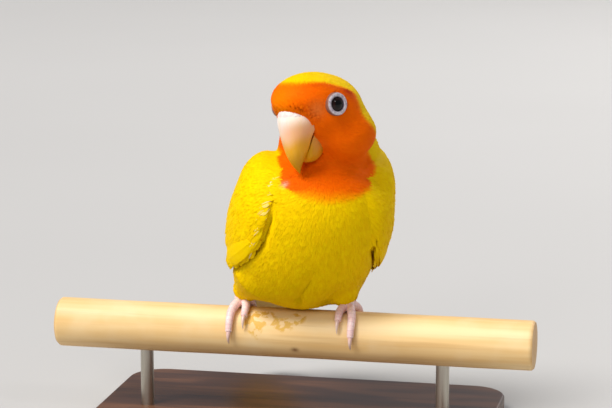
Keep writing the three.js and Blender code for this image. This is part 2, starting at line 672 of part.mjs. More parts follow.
function mesh(name, made, material) {
  const one = new THREE.Mesh(made.isBufferGeometry ? made : geometryOf(made), materials[material]);
  one.name = name;
  return one;
}

// The bird's flesh is modelled whole and parted by thin cuts, then the rest is set on it.
function birdGroup() {
  const cuts = [HEAD_CUT, NECK_CUT, TAIL_CUT].map(({ at, square }) => parting(at, square));
  const pieces = cuts.reduce((made, cut) => made.subtract(cut), bodySolid()).decompose();
  const height = (made) => made.boundingBox().max[2];
  const [headSkin, neckSkin, torso, rump] = pieces.sort((a, b) => height(b) - height(a));
  const head = headParts(headSkin, neckSkin);
  const tail = joined([rump, ...TAIL_ROWS.flatMap(tailVanes)]);
  const bodyRoom = bodySolid(GAP);
  const ontoPerch = INTO_BODY.clone().multiply(new THREE.Matrix4().makeTranslation(0, 0, PERCH_HEIGHT));
  const feetRoom = [FOOT_AT.left, FOOT_AT.right].map((at) => foot(at, GAP).transform(ontoPerch.elements));
  const thighs = [1, -1].map((side, i) => {
    const made = thighSolid(side, [FOOT_AT.left, FOOT_AT.right][i]);
    return largest(made.subtract(bodyRoom).subtract(feetRoom[i]).subtract(wingRoom(side)));
  });

  const headGroup = new THREE.Group();
  headGroup.applyMatrix4(HEAD_FRAME);
  headGroup.add(
    mesh("bill_upper", head.bill_upper, "bill_horn"),
    mesh("bill_lower", head.bill_lower, "bill_horn"),
    mesh("cere", head.cere, "bare_skin"),
    mesh("eye_left", head.eye_left, "eye_dark"),
    mesh("eye_right", head.eye_right, "eye_dark"),
    mesh("eye_ring_left", head.eye_ring_left, "bare_skin"),
    mesh("eye_ring_right", head.eye_ring_right, "bare_skin"),
  );

  const bird = new THREE.Group();
  bird.applyMatrix4(BODY_FRAME);
  bird.add(
    headGroup,
    mesh("head", head.head, "peach_plumage"),
    mesh("neck", head.neck, "yellow_plumage"),
    mesh("torso", largest(torso.subtract(feetRoom[0]).subtract(feetRoom[1])), "yellow_plumage"),
    mesh("tail", tail, "yellow_plumage"),
    mesh("wing_left", wing(1, bodyRoom), "yellow_plumage"),
    mesh("wing_right", wing(-1, bodyRoom), "yellow_plumage"),
    mesh("thigh_left", thighs[0], "yellow_plumage"),
    mesh("thigh_right", thighs[1], "yellow_plumage"),
  );
  return bird;
}

function feetGroup() {
  const feet = new THREE.Group();
  feet.position.z = PERCH_HEIGHT;
  for (const [word, at] of Object.entries(FOOT_AT)) {
    feet.add(mesh("foot_" + word, foot(at), "foot_skin"));
    for (const one of TOES) feet.add(mesh("claw_" + word + "_" + one.name, claw(one, at), "claw_horn"));
  }
  return feet;
}

function standGroup() {
  const stand = new THREE.Group();
  const perch = mesh("perch", perchGeometry(), "perch_wood");
  perch.position.z = PERCH_HEIGHT;
  stand.add(perch, mesh("stand_base", roundedBoard(BASE), "stand_wood"));
  for (const [word, side] of [["left", 1], ["right", -1]]) {
    const rod = mesh("stand_rod_" + word, rodSolid(), "stand_metal");
    rod.position.x = side * ROD.spread;
    stand.add(rod);
  }
  return stand;
}

const lovebird = new THREE.Group();
lovebird.name = "lovebird";
lovebird.add(birdGroup(), feetGroup(), standGroup());
export default lovebird;
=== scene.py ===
"""A yellow peach-faced lovebird, life size, gripping a cut length of perch on a plain display stand.

Shapes are worked out in millimetres in the bird's own frame, with the sizes of the part's source. They become
metres in the part's frame when a mesh is made. In the bird's frame +X is to its left and +Y behind it.
"""
import math

import bpy
import numpy as np
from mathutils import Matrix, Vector, kdtree


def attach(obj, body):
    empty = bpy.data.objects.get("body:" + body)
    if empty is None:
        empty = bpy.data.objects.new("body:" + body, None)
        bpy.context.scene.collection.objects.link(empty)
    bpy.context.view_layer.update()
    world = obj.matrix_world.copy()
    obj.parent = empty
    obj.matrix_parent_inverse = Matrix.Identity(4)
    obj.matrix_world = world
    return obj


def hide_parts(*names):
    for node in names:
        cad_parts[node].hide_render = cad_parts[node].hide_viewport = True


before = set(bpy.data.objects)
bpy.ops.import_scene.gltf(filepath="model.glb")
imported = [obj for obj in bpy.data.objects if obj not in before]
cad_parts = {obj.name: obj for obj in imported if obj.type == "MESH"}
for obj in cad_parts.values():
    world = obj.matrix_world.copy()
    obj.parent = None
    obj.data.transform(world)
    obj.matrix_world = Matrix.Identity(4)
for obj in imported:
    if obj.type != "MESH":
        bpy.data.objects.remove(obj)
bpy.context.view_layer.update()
rng = np.random.default_rng(20)
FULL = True

# Driving sizes, as in the part's source.
PERCH_RADIUS = 8.25
PERCH_LENGTH = 160.0
PERCH_HEIGHT = 33.0
BASE = {"length": 132.0, "depth": 92.0, "thick": 6.0, "corner": 12.0, "edge": 0.8}
ROD = {"radius": 2.2, "spread": 50.0}
FOOT_AT = {"left": 18.6, "right": -17.2}
SIDES = (("left", 1), ("right", -1))


def vec(*numbers):
    return np.array(numbers, float)


def unit(v):
    return v / np.maximum(np.linalg.norm(v, axis=-1, keepdims=True), 1e-9)


def smooth(value, low, high):
    t = np.clip((value - low) / (high - low), 0, 1)
    return t * t * (3 - 2 * t)


def mix(a, b, t):
    return a + (b - a) * t


def hill(value, width):
    """A bell curve: 1 where value is 0, and near 0 from twice the width."""
    return np.exp(-((value / width) ** 2))


def ring_angles(sides):
    return 2 * np.pi * np.arange(sides) / sides


# Frames
def turned(nod, tip, turn):
    (cx, cy, cz), (sx, sy, sz) = np.cos(np.radians([nod, tip, turn])), np.sin(np.radians([nod, tip, turn]))
    about_x = np.array([[1, 0, 0], [0, cx, -sx], [0, sx, cx]])
    about_y = np.array([[cy, 0, sy], [0, 1, 0], [-sy, 0, cy]])
    about_z = np.array([[cz, -sz, 0], [sz, cz, 0], [0, 0, 1]])
    return about_z @ about_y @ about_x


BODY_TURNED = turned(0, 6.5, 22)
HEAD_TURNED = turned(14, -10.5, -52)
HEAD_AT = vec(0, -11, 73.2)
PERCH_AT = vec(0, 0, PERCH_HEIGHT)


def body_to_part(p):
    return p @ BODY_TURNED.T + PERCH_AT


def part_to_body(p):
    return (p - PERCH_AT) @ BODY_TURNED


def head_to_body(p):
    return p @ HEAD_TURNED.T + HEAD_AT


def body_to_head(p):
    return (p - HEAD_AT) @ HEAD_TURNED


# Forms: the distance from points to a rounded shape, less than nothing inside it.
def softly(a, b, blend):
    near = np.maximum(blend - np.abs(a - b), 0) / blend
    return np.minimum(a, b) - near * near * blend / 4


def egg(at, radii, pitch=0.0):
    at, radii = np.array(at, float), np.array(radii, float)
    c, s = math.cos(math.radians(pitch)), math.sin(math.radians(pitch))

    def distance(p):
        q = p - at
        local = np.stack([q[:, 0], q[:, 1] * c - q[:, 2] * s, q[:, 1] * s + q[:, 2] * c], 1)
        once = np.sqrt(((local / radii) ** 2).sum(1))
        twice = np.sqrt(((local / radii**2) ** 2).sum(1))
        return np.where(twice < 1e-9, -radii.min(), once * (once - 1) / np.maximum(twice, 1e-9))

    return distance


def from_line(p, start, end):
    """Where points lie along a line, as a share of it, and how far from it."""
    along = end - start
    share = np.clip((p - start) @ along / (along @ along), 0, 1)
    return share, np.linalg.norm(p - start - share[:, None] * along, axis=1)


def limb(start, end, start_radius, end_radius):
    def distance(p):
        share, gap = from_line(p, start, end)
        return gap - mix(start_radius, end_radius, share)

    return distance


def blended(blend, forms):
    def distance(p):
        d = forms[0](p)
        for form in forms[1:]:
            d = softly(d, form(p), blend)
        return d

    return distance


BACK_SLOPE = 42
BACK_AXIS = vec(0, math.cos(math.radians(BACK_SLOPE)), -math.sin(math.radians(BACK_SLOPE)))
BACK_UP = vec(0, -BACK_AXIS[2], BACK_AXIS[1])
head_forms = blended(4, [
    egg((0, -0.9, 3.2), (14, 13.5, 11.9), 21),
    egg((0, -8.1, 9.8), (10.1, 9.8, 6.8)),
    egg((7.4, 1.7, -5.2), (8.8, 9.4, 8)),
    egg((-7.4, 1.7, -5.2), (8.8, 9.4, 8)),
    egg((0, 1.1, -8.5), (9, 5.6, 6.8)),
])
torso_forms = blended(7, [
    egg((0.8, -5.4, 40.5), (24.5, 22, 20.4), 45),
    egg((0, -1.5, 28), (22.8, 20, 18.6), BACK_SLOPE),
    egg((0, 12, 33), (20, 24, 17), BACK_SLOPE),
    egg((0, 28, 20), (13.5, 18, 11), BACK_SLOPE),
])
neck_form = egg((6.2, 1.2, 61), (15.9, 12.6, 12), 15)
nape_form = egg((3.6, 1.4, 67.6), (11.7, 11.6, 10.4), 40)
shoulder_forms = [egg((-14.5, -1, 52.6), (4.4, 6, 4.6)), egg((18.8, -4, 53), (5, 7, 6.5))]
tail_room = egg((0, 30, 19), (12.5, 44, 10.5), BACK_SLOPE)


def flesh_distance(p):
    d = softly(softly(torso_forms(p), neck_form(p), 8), nape_form(p), 6)
    for form in shoulder_forms:
        d = softly(d, form(p), 6)
    return softly(d, head_forms(body_to_head(p)), 7)


def mantle_distance(p):
    return softly(flesh_distance(p), tail_room(p), 6)


HIP = vec(13, 0, 19.5)
THIGH = {"hip": 10.0, "ankle": 4.3, "height": 14.2, "inward": 0.92}
thigh_ends = {}
for side_word, side_sign in SIDES:
    ankle_at = vec(FOOT_AT[side_word] * THIGH["inward"], 0.6, PERCH_HEIGHT + THIGH["height"])
    thigh_ends[side_word] = (HIP * vec(side_sign, 1, 1), part_to_body(ankle_at))
thigh_forms = {word: limb(*ends, THIGH["hip"], THIGH["ankle"]) for word, ends in thigh_ends.items()}


def coat_distance(p):
    d = flesh_distance(p)
    for form in thigh_forms.values():
        d = softly(d, form(p), 3)
    return d


def gradient(distance, p, step=0.05):
    d = distance(p)
    moved = [distance(p + step * axis) - d for axis in np.eye(3)]
    return unit(np.stack(moved, 1))


def reach(distance, start, towards, far):
    """How far the form's outermost surface lies from each start, cast from outside in at most 60 steps."""
    close_enough, stride = 0.01, 0.85
    t = np.full(len(start), far)
    for _ in range(60):
        d = distance(start + t[:, None] * towards)
        moving = np.abs(d) >= close_enough
        if not moving.any():
            break
        t = np.where(moving, np.clip(t - stride * d, 0, far), t)
    return t


def spline(points, t):
    """A smooth curve through points, at shares t of it."""
    points = np.array(points, float)
    last = len(points) - 1
    padded = np.vstack([2 * points[0] - points[1], points, 2 * points[-1] - points[-2]])
    place = np.clip(np.asarray(t, float), 0, 1) * last
    i = np.minimum(place.astype(int), last - 1)
    f = (place - i)[..., None]
    a, b, c, d = (padded[i + k] for k in range(4))
    return 0.5 * (2 * b + (c - a) * f + (2 * a - 5 * b + 4 * c - d) * f**2 + (3 * b - a - 3 * c + d) * f**3)


def cast_grid(distance, rays, rows, sides, far=70.0):
    """Rows of points on a form, cast back along rays(share of the way along, angle round)."""
    share, angle = np.meshgrid(np.arange(rows + 1) / rows, ring_angles(sides), indexing="ij")
    start, towards = rays(share.ravel(), angle.ravel())
    points = start + reach(distance, start, towards, far)[:, None] * towards
    return points.reshape(rows + 1, sides, 3)


def fanned(first, second, angle, axis, fan):
    """Directions round an axis, between first and second by angle, then raised towards the axis by fan."""
    out = first * np.cos(angle)[:, None] + second * np.sin(angle)[:, None]
    return out * np.cos(fan)[:, None] + axis * np.sin(fan)[:, None]


# The body's rays go from the rump to the crown, and round from the back's ridge.
SPINE = [(0, 33, 15), (0, 18, 27), (0, 4, 39), (0, -4, 51), (0, -6, 61), tuple(HEAD_AT)]
RUMP_FAN, CROWN_FAN = 0.12, 0.32


def body_rays(share, angle):
    along = np.clip((share - RUMP_FAN) / (1 - RUMP_FAN - CROWN_FAN), 0, 1)
    tangent = unit(spline(SPINE, np.minimum(along + 0.01, 1)) - spline(SPINE, np.maximum(along - 0.01, 0)))
    sideways = np.broadcast_to(vec(1, 0, 0), tangent.shape)
    back = -np.cross(tangent, sideways)
    fan = np.where(share < RUMP_FAN, share / RUMP_FAN - 1, np.maximum(0, (share - 1 + CROWN_FAN) / CROWN_FAN))
    return spline(SPINE, along), fanned(back, sideways, angle, tangent, math.pi / 2 * fan)


THIGH_ROWS, THIGH_SIDES = 40, 48


def thigh_grid(word):
    """A thigh's surface: rows from inside the hip down to the ankle."""
    hip, ankle = thigh_ends[word]
    axis = unit(ankle - hip)
    across = unit(np.cross(axis, vec(0, 1, 0)))

    def rays(share, angle):
        start = hip + smooth(share, 0.25, 0.75)[:, None] * (ankle - hip)
        return start, fanned(across, np.cross(axis, across), angle, axis, np.radians(mix(-90, 90, share)))

    return cast_grid(thigh_forms[word], rays, THIGH_ROWS, THIGH_SIDES, 30)


# Making meshes
def new_mesh(name, points, faces):
    """A smooth mesh from points in millimetres and a list of arrays of faces."""
    sizes = np.concatenate([np.full(len(group), group.shape[1]) for group in faces])
    corners = np.concatenate([group.ravel() for group in faces])
    mesh = bpy.data.meshes.new(name)
    mesh.vertices.add(len(points))
    mesh.vertices.foreach_set("co", (points * 0.001).astype(np.float32).ravel())
    mesh.loops.add(len(corners))
    mesh.loops.foreach_set("vertex_index", corners.astype(np.int32))
    mesh.polygons.add(len(sizes))
    mesh.polygons.foreach_set("loop_start", (np.cumsum(sizes) - sizes).astype(np.int32))
    mesh.polygons.foreach_set("use_smooth", np.ones(len(sizes), bool))
    mesh.update(calc_edges=True)
    return mesh


def corner_vertices(mesh):
    corner = np.zeros(len(mesh.loops), np.int32)
    mesh.loops.foreach_get("vertex_index", corner)
    return corner


def set_corner_map(mesh, name, uv):
    mesh.uv_layers.new(name=name).uv.foreach_set("vector", uv.astype(np.float32).ravel())


def set_map(mesh, name, uv):
    """A UV map from a value for each vertex."""
    set_corner_map(mesh, name, uv[corner_vertices(mesh)])


def set_values(mesh, **values):
    for name, numbers in values.items():
        attribute = mesh.attributes.new(name, "FLOAT", "POINT")
        attribute.data.foreach_set("value", np.asarray(numbers, np.float32))


def add_object(name, data):
    made = bpy.data.objects.new(name, data)
    bpy.context.scene.collection.objects.link(made)
    return made


def piece(name, mesh, material, replaced=()):
    made = add_object(name, mesh)
    made.data.materials.append(material)
    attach(made, "root")
    if replaced:
        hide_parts(*replaced)


def faces_out(points, faces):
    """The faces, all turned round if the closed surface is inside out."""
    volume = 0.0
    for group in faces:
        for i in range(1, group.shape[1] - 1):
            a, b, c = points[group[:, 0]], points[group[:, i]], points[group[:, i + 1]]
            volume += (a * np.cross(b, c)).sum()
    return faces if volume >= 0 else [group[:, ::-1] for group in faces]


def closed_rows(rows, start=None, end=None):
    """A closed surface over rings of points, with a point at each end."""
    rows = np.asarray(rows, float)
    count, sides = rows.shape[:2]
    start = rows[0].mean(0) if start is None else start
    end = rows[-1].mean(0) if end is None else end
    points = np.vstack([rows.reshape(-1, 3), start, end])
    index = np.arange(count * sides).reshape(count, sides)
    after = np.roll(index, -1, 1)
    quads = np.stack([index[:-1], after[:-1], after[1:], index[1:]], -1).reshape(-1, 4)
    near = np.stack([np.full(sides, count * sides), after[0], index[0]], -1)
    far = np.stack([np.full(sides, count * sides + 1), index[-1], after[-1]], -1)
    return points, faces_out(points, [quads, near, far])


def joined(parts):
    """Several (points, faces) made one."""
    points, faces, count = [], [], 0
    for p, groups in parts:
        points.append(p)
        faces += [group + count for group in groups]
        count += len(p)
    return np.vstack(points), faces


# Materials
def rgb(text):
    """A colour from its six hexadecimal digits, made linear."""
    parts = [int(text[i : i + 2], 16) / 255 for i in (0, 2, 4)]
    return tuple(c / 12.92 if c <= 0.04045 else ((c + 0.055) / 1.055) ** 2.4 for c in parts)


class Nodes:
    """A material's node tree, with short ways to add to it."""

    def __init__(self, name):
        self.material = bpy.data.materials.new(name)
        self.material.use_nodes = True
        self.tree = self.material.node_tree
        self.shader = self.tree.nodes["Principled BSDF"]

    def add(self, kind, **settings):
        node = self.tree.nodes.new(kind)
        for key, value in settings.items():
            setattr(node, key, value)
        return node

    def link(self, source, target):
        """Feeds a socket from a node, or sets it to a colour's digits or to numbers."""
        if isinstance(source, str):
            target.default_value = (*rgb(source), 1.0)
        elif isinstance(source, (int, float, tuple)):
            target.default_value = source
        else:
            self.tree.links.new(source, target)

    def feed(self, node, sockets, values):
        for socket, value in zip(sockets, values):
            self.link(value, node.inputs[socket])
        return node

    def set(self, **values):
        self.feed(self.shader, [key.replace("_", " ") for key in values], values.values())

    def attribute(self, name):
        return self.add("ShaderNodeAttribute", attribute_name=name).outputs["Fac"]

    def math(self, operation, *values):
        node = self.add("ShaderNodeMath", operation=operation)
        return self.feed(node, range(len(values)), values).outputs[0]

    def range(self, *values):
        """A smooth step: value, low, high, and what they become, or else 0 and 1."""
        node = self.add("ShaderNodeMapRange", interpolation_type="SMOOTHSTEP")
        return self.feed(node, ("Value", "From Min", "From Max", "To Min", "To Max"), values).outputs[0]

    def mix(self, share, a, b):
        node = self.add("ShaderNodeMix", data_type="RGBA")
        return self.feed(node, (0, 6, 7), (share, a, b)).outputs[2]

    def layers(self, colour, *layers):
        """A colour with others laid over it in turn, each by its share."""
        for share, other in layers:
            colour = self.mix(share, colour, other)
        return colour

    def mottled(self, grain, first, second):
        return self.mix(self.range(self.noise(grain), 0.3, 0.7), first, second)

    def place(self, scale=(1.0, 1.0, 1.0)):
        mapping = self.add("ShaderNodeMapping")
        coordinates = self.add("ShaderNodeTexCoord").outputs["Object"]
        return self.feed(mapping, ("Vector", "Scale"), (coordinates, scale)).outputs[0]

    def noise(self, scale, detail=3.0, rough=0.5, stretch=(1.0, 1.0, 1.0)):
        node = self.add("ShaderNodeTexNoise")
        values = (self.place(stretch), scale, detail, rough)
        return self.feed(node, ("Vector", "Scale", "Detail", "Roughness"), values).outputs["Fac"]

    def bump(self, height, strength, distance):
        values = (strength, distance, height)
        node = self.feed(self.add("ShaderNodeBump"), ("Strength", "Distance", "Height"), values)
        self.link(node.outputs[0], self.shader.inputs["Normal"])


def plumage(name, barbs, depth):
    """Yellow feathers, orange, red or pale where the mesh's values say so, with barbs as fine ridges. The red
    also lays painted shade under the chin, the pale painted highlights on the right wing's edge.
    """
    made = Nodes(name)
    tone, mask, cloud = made.attribute("tone"), made.attribute("mask"), made.noise(260)
    yellow = made.mix(tone, "f4c200", "ffe000")
    yellow = made.mix(made.range(cloud, 0.3, 0.75, 0.0, 0.4), yellow, "fbca00")
    orange = made.layers(
        made.mix(tone, "fc5e00", "ff7400"),
        (made.range(cloud, 0.35, 0.7, 0.0, 0.5), "ff6a00"),
        # The red share also darkens the chin with painted shade.
        (made.attribute("red_and_shade"), "b52900"),
        (made.attribute("lore"), "ff9448"))
    split = made.add("ShaderNodeSeparateXYZ")
    made.link(made.add("ShaderNodeUVMap", uv_map="vane").outputs[0], split.inputs[0])
    across, along = split.outputs[0], split.outputs[1]
    from_shaft = made.math("ABSOLUTE", made.math("SUBTRACT", across, 0.5))
    slant = made.math("MULTIPLY", from_shaft, barbs * 0.5)
    slant = made.math("SUBTRACT", made.math("MULTIPLY", along, barbs), slant)
    ridges = made.math("SINE", made.math("MULTIPLY", slant, 2 * math.pi))
    shaft = made.range(from_shaft, 0.0, 0.05, 0.5, 0.0)
    colour = made.layers(
        yellow,
        (made.range(mask, 0.0, 0.55), "ffa000"),
        (made.range(mask, 0.35, 1.0), orange),
        # The pale share also holds painted highlights on the right wing's edge.
        (made.attribute("pale"), "fff6da"),
        (made.range(ridges, -1.0, 1.0, 0.08, 0.0), "b87400"))
    made.set(Base_Color=colour, Roughness=0.6, Specular_IOR_Level=0.03)
    made.set(Sheen_Weight=0.12, Sheen_Roughness=0.45, Sheen_Tint="ffb400")
    made.bump(made.math("ADD", made.math("MULTIPLY", ridges, 0.5), shaft), 0.3, depth)
    return made.material


coat_material = plumage("body_feathers", 9.0, 0.00004)
vane_material = plumage("flight_feathers", 60.0, 0.00005)
PLAIN_VANE = 0.3  # a place on a vane away from its shaft, for surfaces that aren't feathers
MARK_NAMES = ("mask", "red_and_shade", "lore", "pale")


# Markings of the plumage, the same for skin and feathers
def mirrored(q, spot):
    """How far points are from a spot of the head or its mirror image."""
    return np.linalg.norm(np.stack([np.abs(q[:, 0]), q[:, 1], q[:, 2]], 1) - np.array(spot), axis=1)


def markings(p):
    """Mask, red, lore and pale shares at points of the body's frame. The red share also holds painted shade
    under the chin, the pale share a painted highlight at the right wing's bend, and the mask is lightened by a
    painted highlight at the front of the forehead.
    """
    q = body_to_head(p)
    left, back, height = p.T
    aside, behind, above = np.abs(q[:, 0]), q[:, 1], q[:, 2]
    crown_edge = np.minimum(-13.2 + 16.5 * (aside / 12.3) ** 2.6, 3.0)
    edge = mix(2.4 + 4.2 * smooth(-above, -1, 8), crown_edge, smooth(above, 1.0, 7.0))
    on_face = smooth(edge - behind, -2.0, 1.8) * smooth(above, -19, -14)
    on_face = on_face * (1 - smooth(head_forms(q), 2.0, 4.5) * smooth(-above, 2, 8))
    bib_foot = 48.5 + 0.018 * (left - 1) ** 2
    spread = mix(0.8, 5.6, smooth(left, -11, -3)) * mix(1.0, 0.45, smooth(left, 6, 13))
    bib_back = mix(-6.5, -9.0, smooth(left, -10, 10)) - 2.2 * np.maximum(0, 56 - height)
    on_bib = smooth((height - bib_foot) / spread, -1, 1) ** 1.9 * smooth(bib_back - back, -1.0, 1.0)
    sides = smooth(left, -14.0, -12.6) * (1 - smooth(left - 0.25 * (height - 55), 16.5, 18.7))
    on_bib = on_bib * sides * (1 - smooth(height, 62, 67))
    # Painted highlight: the front of the forehead, where the light falls, keeps less of the mask and shows a
    # lighter orange.
    front = hill(np.linalg.norm(q - vec(-2, -17, 9), axis=1), 7)
    mask = np.maximum(on_face, on_bib) * (1 - 0.3 * front)
    brow = hill(behind - edge + 1.8, 1.8) * smooth(above, 7, 10) * smooth(aside, 4, 8)
    behind_eye = hill(mirrored(q, (12.2, 0.6, 9.0)), 2.9)
    under_eye = hill(mirrored(q, (13.2, -4.5, -1.0)), 4.0)
    # Painted shade: the chin and throat under the bill are darkened through the red share.
    chin_shade = smooth(-above, 9, 16) * smooth(height, 48, 56) * (1 - smooth(left, 6, 12))
    red_and_shade = np.clip(0.3 * brow + 0.85 * behind_eye + 0.2 * under_eye + 0.2 * chin_shade, 0, 1)
    lore = 0.45 * hill(mirrored(q, (9.2, -12.0, 6.6)), 2.6)
    lore = lore + 0.25 * hill(mirrored(q, (6.0, -10.5, -6.5)), 2.0)
    from_rump = p - vec(0, 24, 22)
    rump = smooth(from_rump @ BACK_AXIS, -6, 6) * smooth(from_rump @ BACK_UP, 0, 6)
    # Painted highlight: a pale spot at the right wing's bend.
    painted_glint = 0.45 * hill(np.linalg.norm(p - vec(-12.0, -19.6, 52.4), axis=1), 0.9)
    return dict(zip(MARK_NAMES, (mask, red_and_shade, lore, np.clip(0.75 * rump + painted_glint, 0, 1))))


# The skin: the body's surface and the thighs', sunk by the depth of the coat, as one closed piece.
SKIN_ROWS, SKIN_SIDES = (230, 190) if FULL else (120, 100)
UNWRAP = {"body": (0.02, 0.74), "left": (0.8, 0.08), "right": (0.9, 0.08)}
BELLY_FOLDS = [(vec(1.5, -24, 29), vec(-1.9, -12, 12.4)), (vec(11.5, -18, 23), vec(8.2, -9.4, 12))]


def unwrapped(word, share, turn):
    """A place on the flat unwrap of the skin: share of the way along, and share of the way round."""
    low, wide = UNWRAP[word]
    return np.stack([low + wide * turn, 0.02 + 0.96 * share], -1)


def coat_depth(p):
    return 0.75 + 0.6 * smooth(np.linalg.norm(body_to_head(p), axis=1), 14, 30)


def crease(p):
    """How far the coat sinks in the folds between belly and thighs, and along the wings' lower edges."""
    depth = np.zeros(len(p))
    for start, end in BELLY_FOLDS:
        share, gap = from_line(p, start, end)
        depth += share * (1.5 * hill(gap, 4.2) + 2.3 * share * hill(gap, 1.1))
    place, side, _, from_foot, _ = wing_gaps(p)
    opening = np.where(side < 0, smooth(place, -12.5, -7), smooth(place, -3, 3))
    return depth + 1.5 * hill(from_foot + 0.8, 1.3) * opening * (1 - smooth(place, 18, 26))


def skin_surface(word, grid):
    """A closed surface sunk under a grid whose first and last rows are poles, with its unwrap."""
    rows, sides = grid.shape[0] - 1, grid.shape[1]
    flat = grid.reshape(-1, 3)
    distance = flesh_distance if word == "body" else thigh_forms[word]
    sunk = flat - gradient(distance, flat) * (coat_depth(flat) + crease(flat))[:, None]
    sunk = sunk.reshape(grid.shape)
    points, faces = closed_rows(sunk[1:-1], sunk[0, 0], sunk[-1, 0])
    mesh = new_mesh("skin_" + word, body_to_part(points), faces)
    corner = corner_vertices(mesh)
    row, side = np.divmod(corner, sides)
    row = np.where(corner < (rows - 1) * sides, row + 1, np.where(corner == (rows - 1) * sides, 0, rows))
    turn = side / sides
    first = np.zeros(len(mesh.polygons), np.int32)
    mesh.polygons.foreach_get("loop_start", first)
    polygon = np.repeat(np.arange(len(first)), np.diff(np.append(first, len(corner))))
    highest = np.maximum.reduceat(turn, first)[polygon]
    turn = np.where(highest - turn > 0.5, turn + 1, turn)
    set_corner_map(mesh, "OFBake", unwrapped(word, row / rows, turn))
    return mesh


def make_skin():
    grids = {"body": cast_grid(flesh_distance, body_rays, SKIN_ROWS, SKIN_SIDES)}
    grids.update({word: thigh_grid(word) for word, _ in SIDES})
    made = [add_object("skin_" + word, skin_surface(word, grid)) for word, grid in grids.items()]
    for other in made[1:]:
        cut = made[0].modifiers.new("join", "BOOLEAN")
        cut.operation, cut.object, cut.solver = "UNION", other, "MANIFOLD"
    bpy.context.view_layer.update()
    mesh = bpy.data.meshes.new_from_object(made[0].evaluated_get(bpy.context.evaluated_depsgraph_get()))
    for one in made:
        bpy.data.objects.remove(one)
    mesh.name = "skin"
    place = np.zeros(len(mesh.vertices) * 3)
    mesh.vertices.foreach_get("co", place)
    place = part_to_body(place.reshape(-1, 3) * 1000)
    set_values(mesh, tone=np.full(len(place), 0.35), **markings(place))
    set_corner_map(mesh, "vane", np.full(len(mesh.loops) * 2, PLAIN_VANE))
    mesh.materials.clear()
    flesh = ("head", "neck", "torso", "thigh_left", "thigh_right")
    piece("skin", mesh, coat_material, flesh)


# The coat: thin closed blades over the skin.
class Blade:
    """A blade's pattern: its rings' shares along it, half widths and heights, from root to pointed tip."""

    def __init__(self, steps, widths, rises, corners):
        self.steps, self.widths, self.rises, self.corners = steps, widths, rises, corners
        self.count = corners * len(steps) + 1
        n, last = corners, corners * (len(steps) - 1)
        faces, upper = [], []
        for ring in range(len(steps) - 1):
            for side in range(n):
                a, b = n * ring + side, n * ring + (side + 1) % n
                faces += [(a, b + n, b), (a, a + n, b + n)]
                upper += [side < 2, side < 2]
        faces += [(last + side, self.count - 1, last + (side + 1) % n) for side in range(n)]
        upper += [side < 2 for side in range(n)]
        faces += [(0, i, i + 1) for i in range(1, n - 1)]
        upper += [False] * (n - 2)
        self.faces = np.array(faces)
        self.normal_signs = np.repeat(np.where(upper, 1.0, -1.0), 3)
        self.map = np.array([(u, t) for t in steps for u in (0, 0.5, 1, 0.5)[:n]] + [(0.5, 1)])


FEATHER = Blade([0.0, 0.3, 0.62, 0.87], [0.4, 0.92, 1.0, 0.66], [0.0, 0.62, 0.84, 0.95], 4)
BARB = Blade([0.0, 0.42, 0.8], [0.7, 1.0, 0.7], [0.0, 0.7, 0.92], 3)
BLADE_CUP = 0.12
EDGE_TILT = 0.22
LEAN_STEP, LEAN_SHARE = 0.7, 0.8
PATCH_SIZE = 0.003
MOST_TRIANGLES = 190000


def along_surface(directions, normals):
    return unit(directions - normals * (normals * directions).sum(1, keepdims=True))


def blades(pattern, cover, roots, lies, length, half, low, high, thick, bend):
    """Closed blades over the coat's surface and cover, from a low root to a high tip, and their normals."""
    rings, shading = [], []
    middle, before = roots, 0.0
    for t, width, rise in zip(pattern.steps + [1.0], pattern.widths + [0.0], pattern.rises + [1.0]):
        normals = gradient(coat_distance, middle)
        lies = along_surface(lies, normals)
        sideways = unit(np.cross(normals, lies))
        middle = middle + lies * (length * (t - before))[:, None]
        middle = middle + sideways * (bend * half * (t * t - before * before))[:, None]
        before = t
        normals = gradient(coat_distance, middle)
        height = mix(low, high, rise) + cover(middle)
        steps = LEAN_STEP * np.eye(3)
        lean = np.stack([cover(middle + step) - cover(middle - step) for step in steps], 1) / (2 * LEAN_STEP)
        slope = unit(normals - LEAN_SHARE * lean)
        middle = middle + normals * (height - coat_distance(middle))[:, None]
        if width == 0:
            rings.append(middle[:, None])
            shading.append(slope[:, None])
            continue
        wide = (half * width)[:, None]
        lift = normals * (thick * (1.1 - 0.6 * t))[:, None] / 2
        left = middle - sideways * wide - normals * BLADE_CUP * wide
        right = middle + sideways * wide - normals * BLADE_CUP * wide
        rings.append(np.stack([left, middle + lift, right, middle - lift][: pattern.corners], 1))
        slopes = [slope - EDGE_TILT * sideways, slope, slope + EDGE_TILT * sideways, slope]
        shading.append(np.stack([unit(one) for one in slopes[: pattern.corners]], 1))
    return np.concatenate(rings, 1), np.concatenate(shading, 1)


def coat_piece(name, pattern, points, shading, marks, tone, root_map):
    """One coat piece from blades and each blade's marks, tone and place on the unwrap."""
    count, each = len(points), pattern.count
    faces = (pattern.faces[None] + (np.arange(count) * each)[:, None, None]).reshape(-1, 3)
    mesh = new_mesh(name, body_to_part(points.reshape(-1, 3)), [faces])
    set_values(mesh, tone=np.repeat(tone, each), **{mark: values.ravel() for mark, values in marks.items()})
    patch = (pattern.map - 0.5) * PATCH_SIZE
    set_map(mesh, "OFBake", (root_map[:, None] + patch[None]).reshape(-1, 2))
    set_map(mesh, "vane", np.tile(pattern.map, (count, 1)))
    normals = shading[:, pattern.faces.ravel()] * pattern.normal_signs[None, :, None]
    mesh.normals_split_custom_set((normals.reshape(-1, 3) @ BODY_TURNED.T).astype(np.float32))
    piece(name, mesh, coat_material)


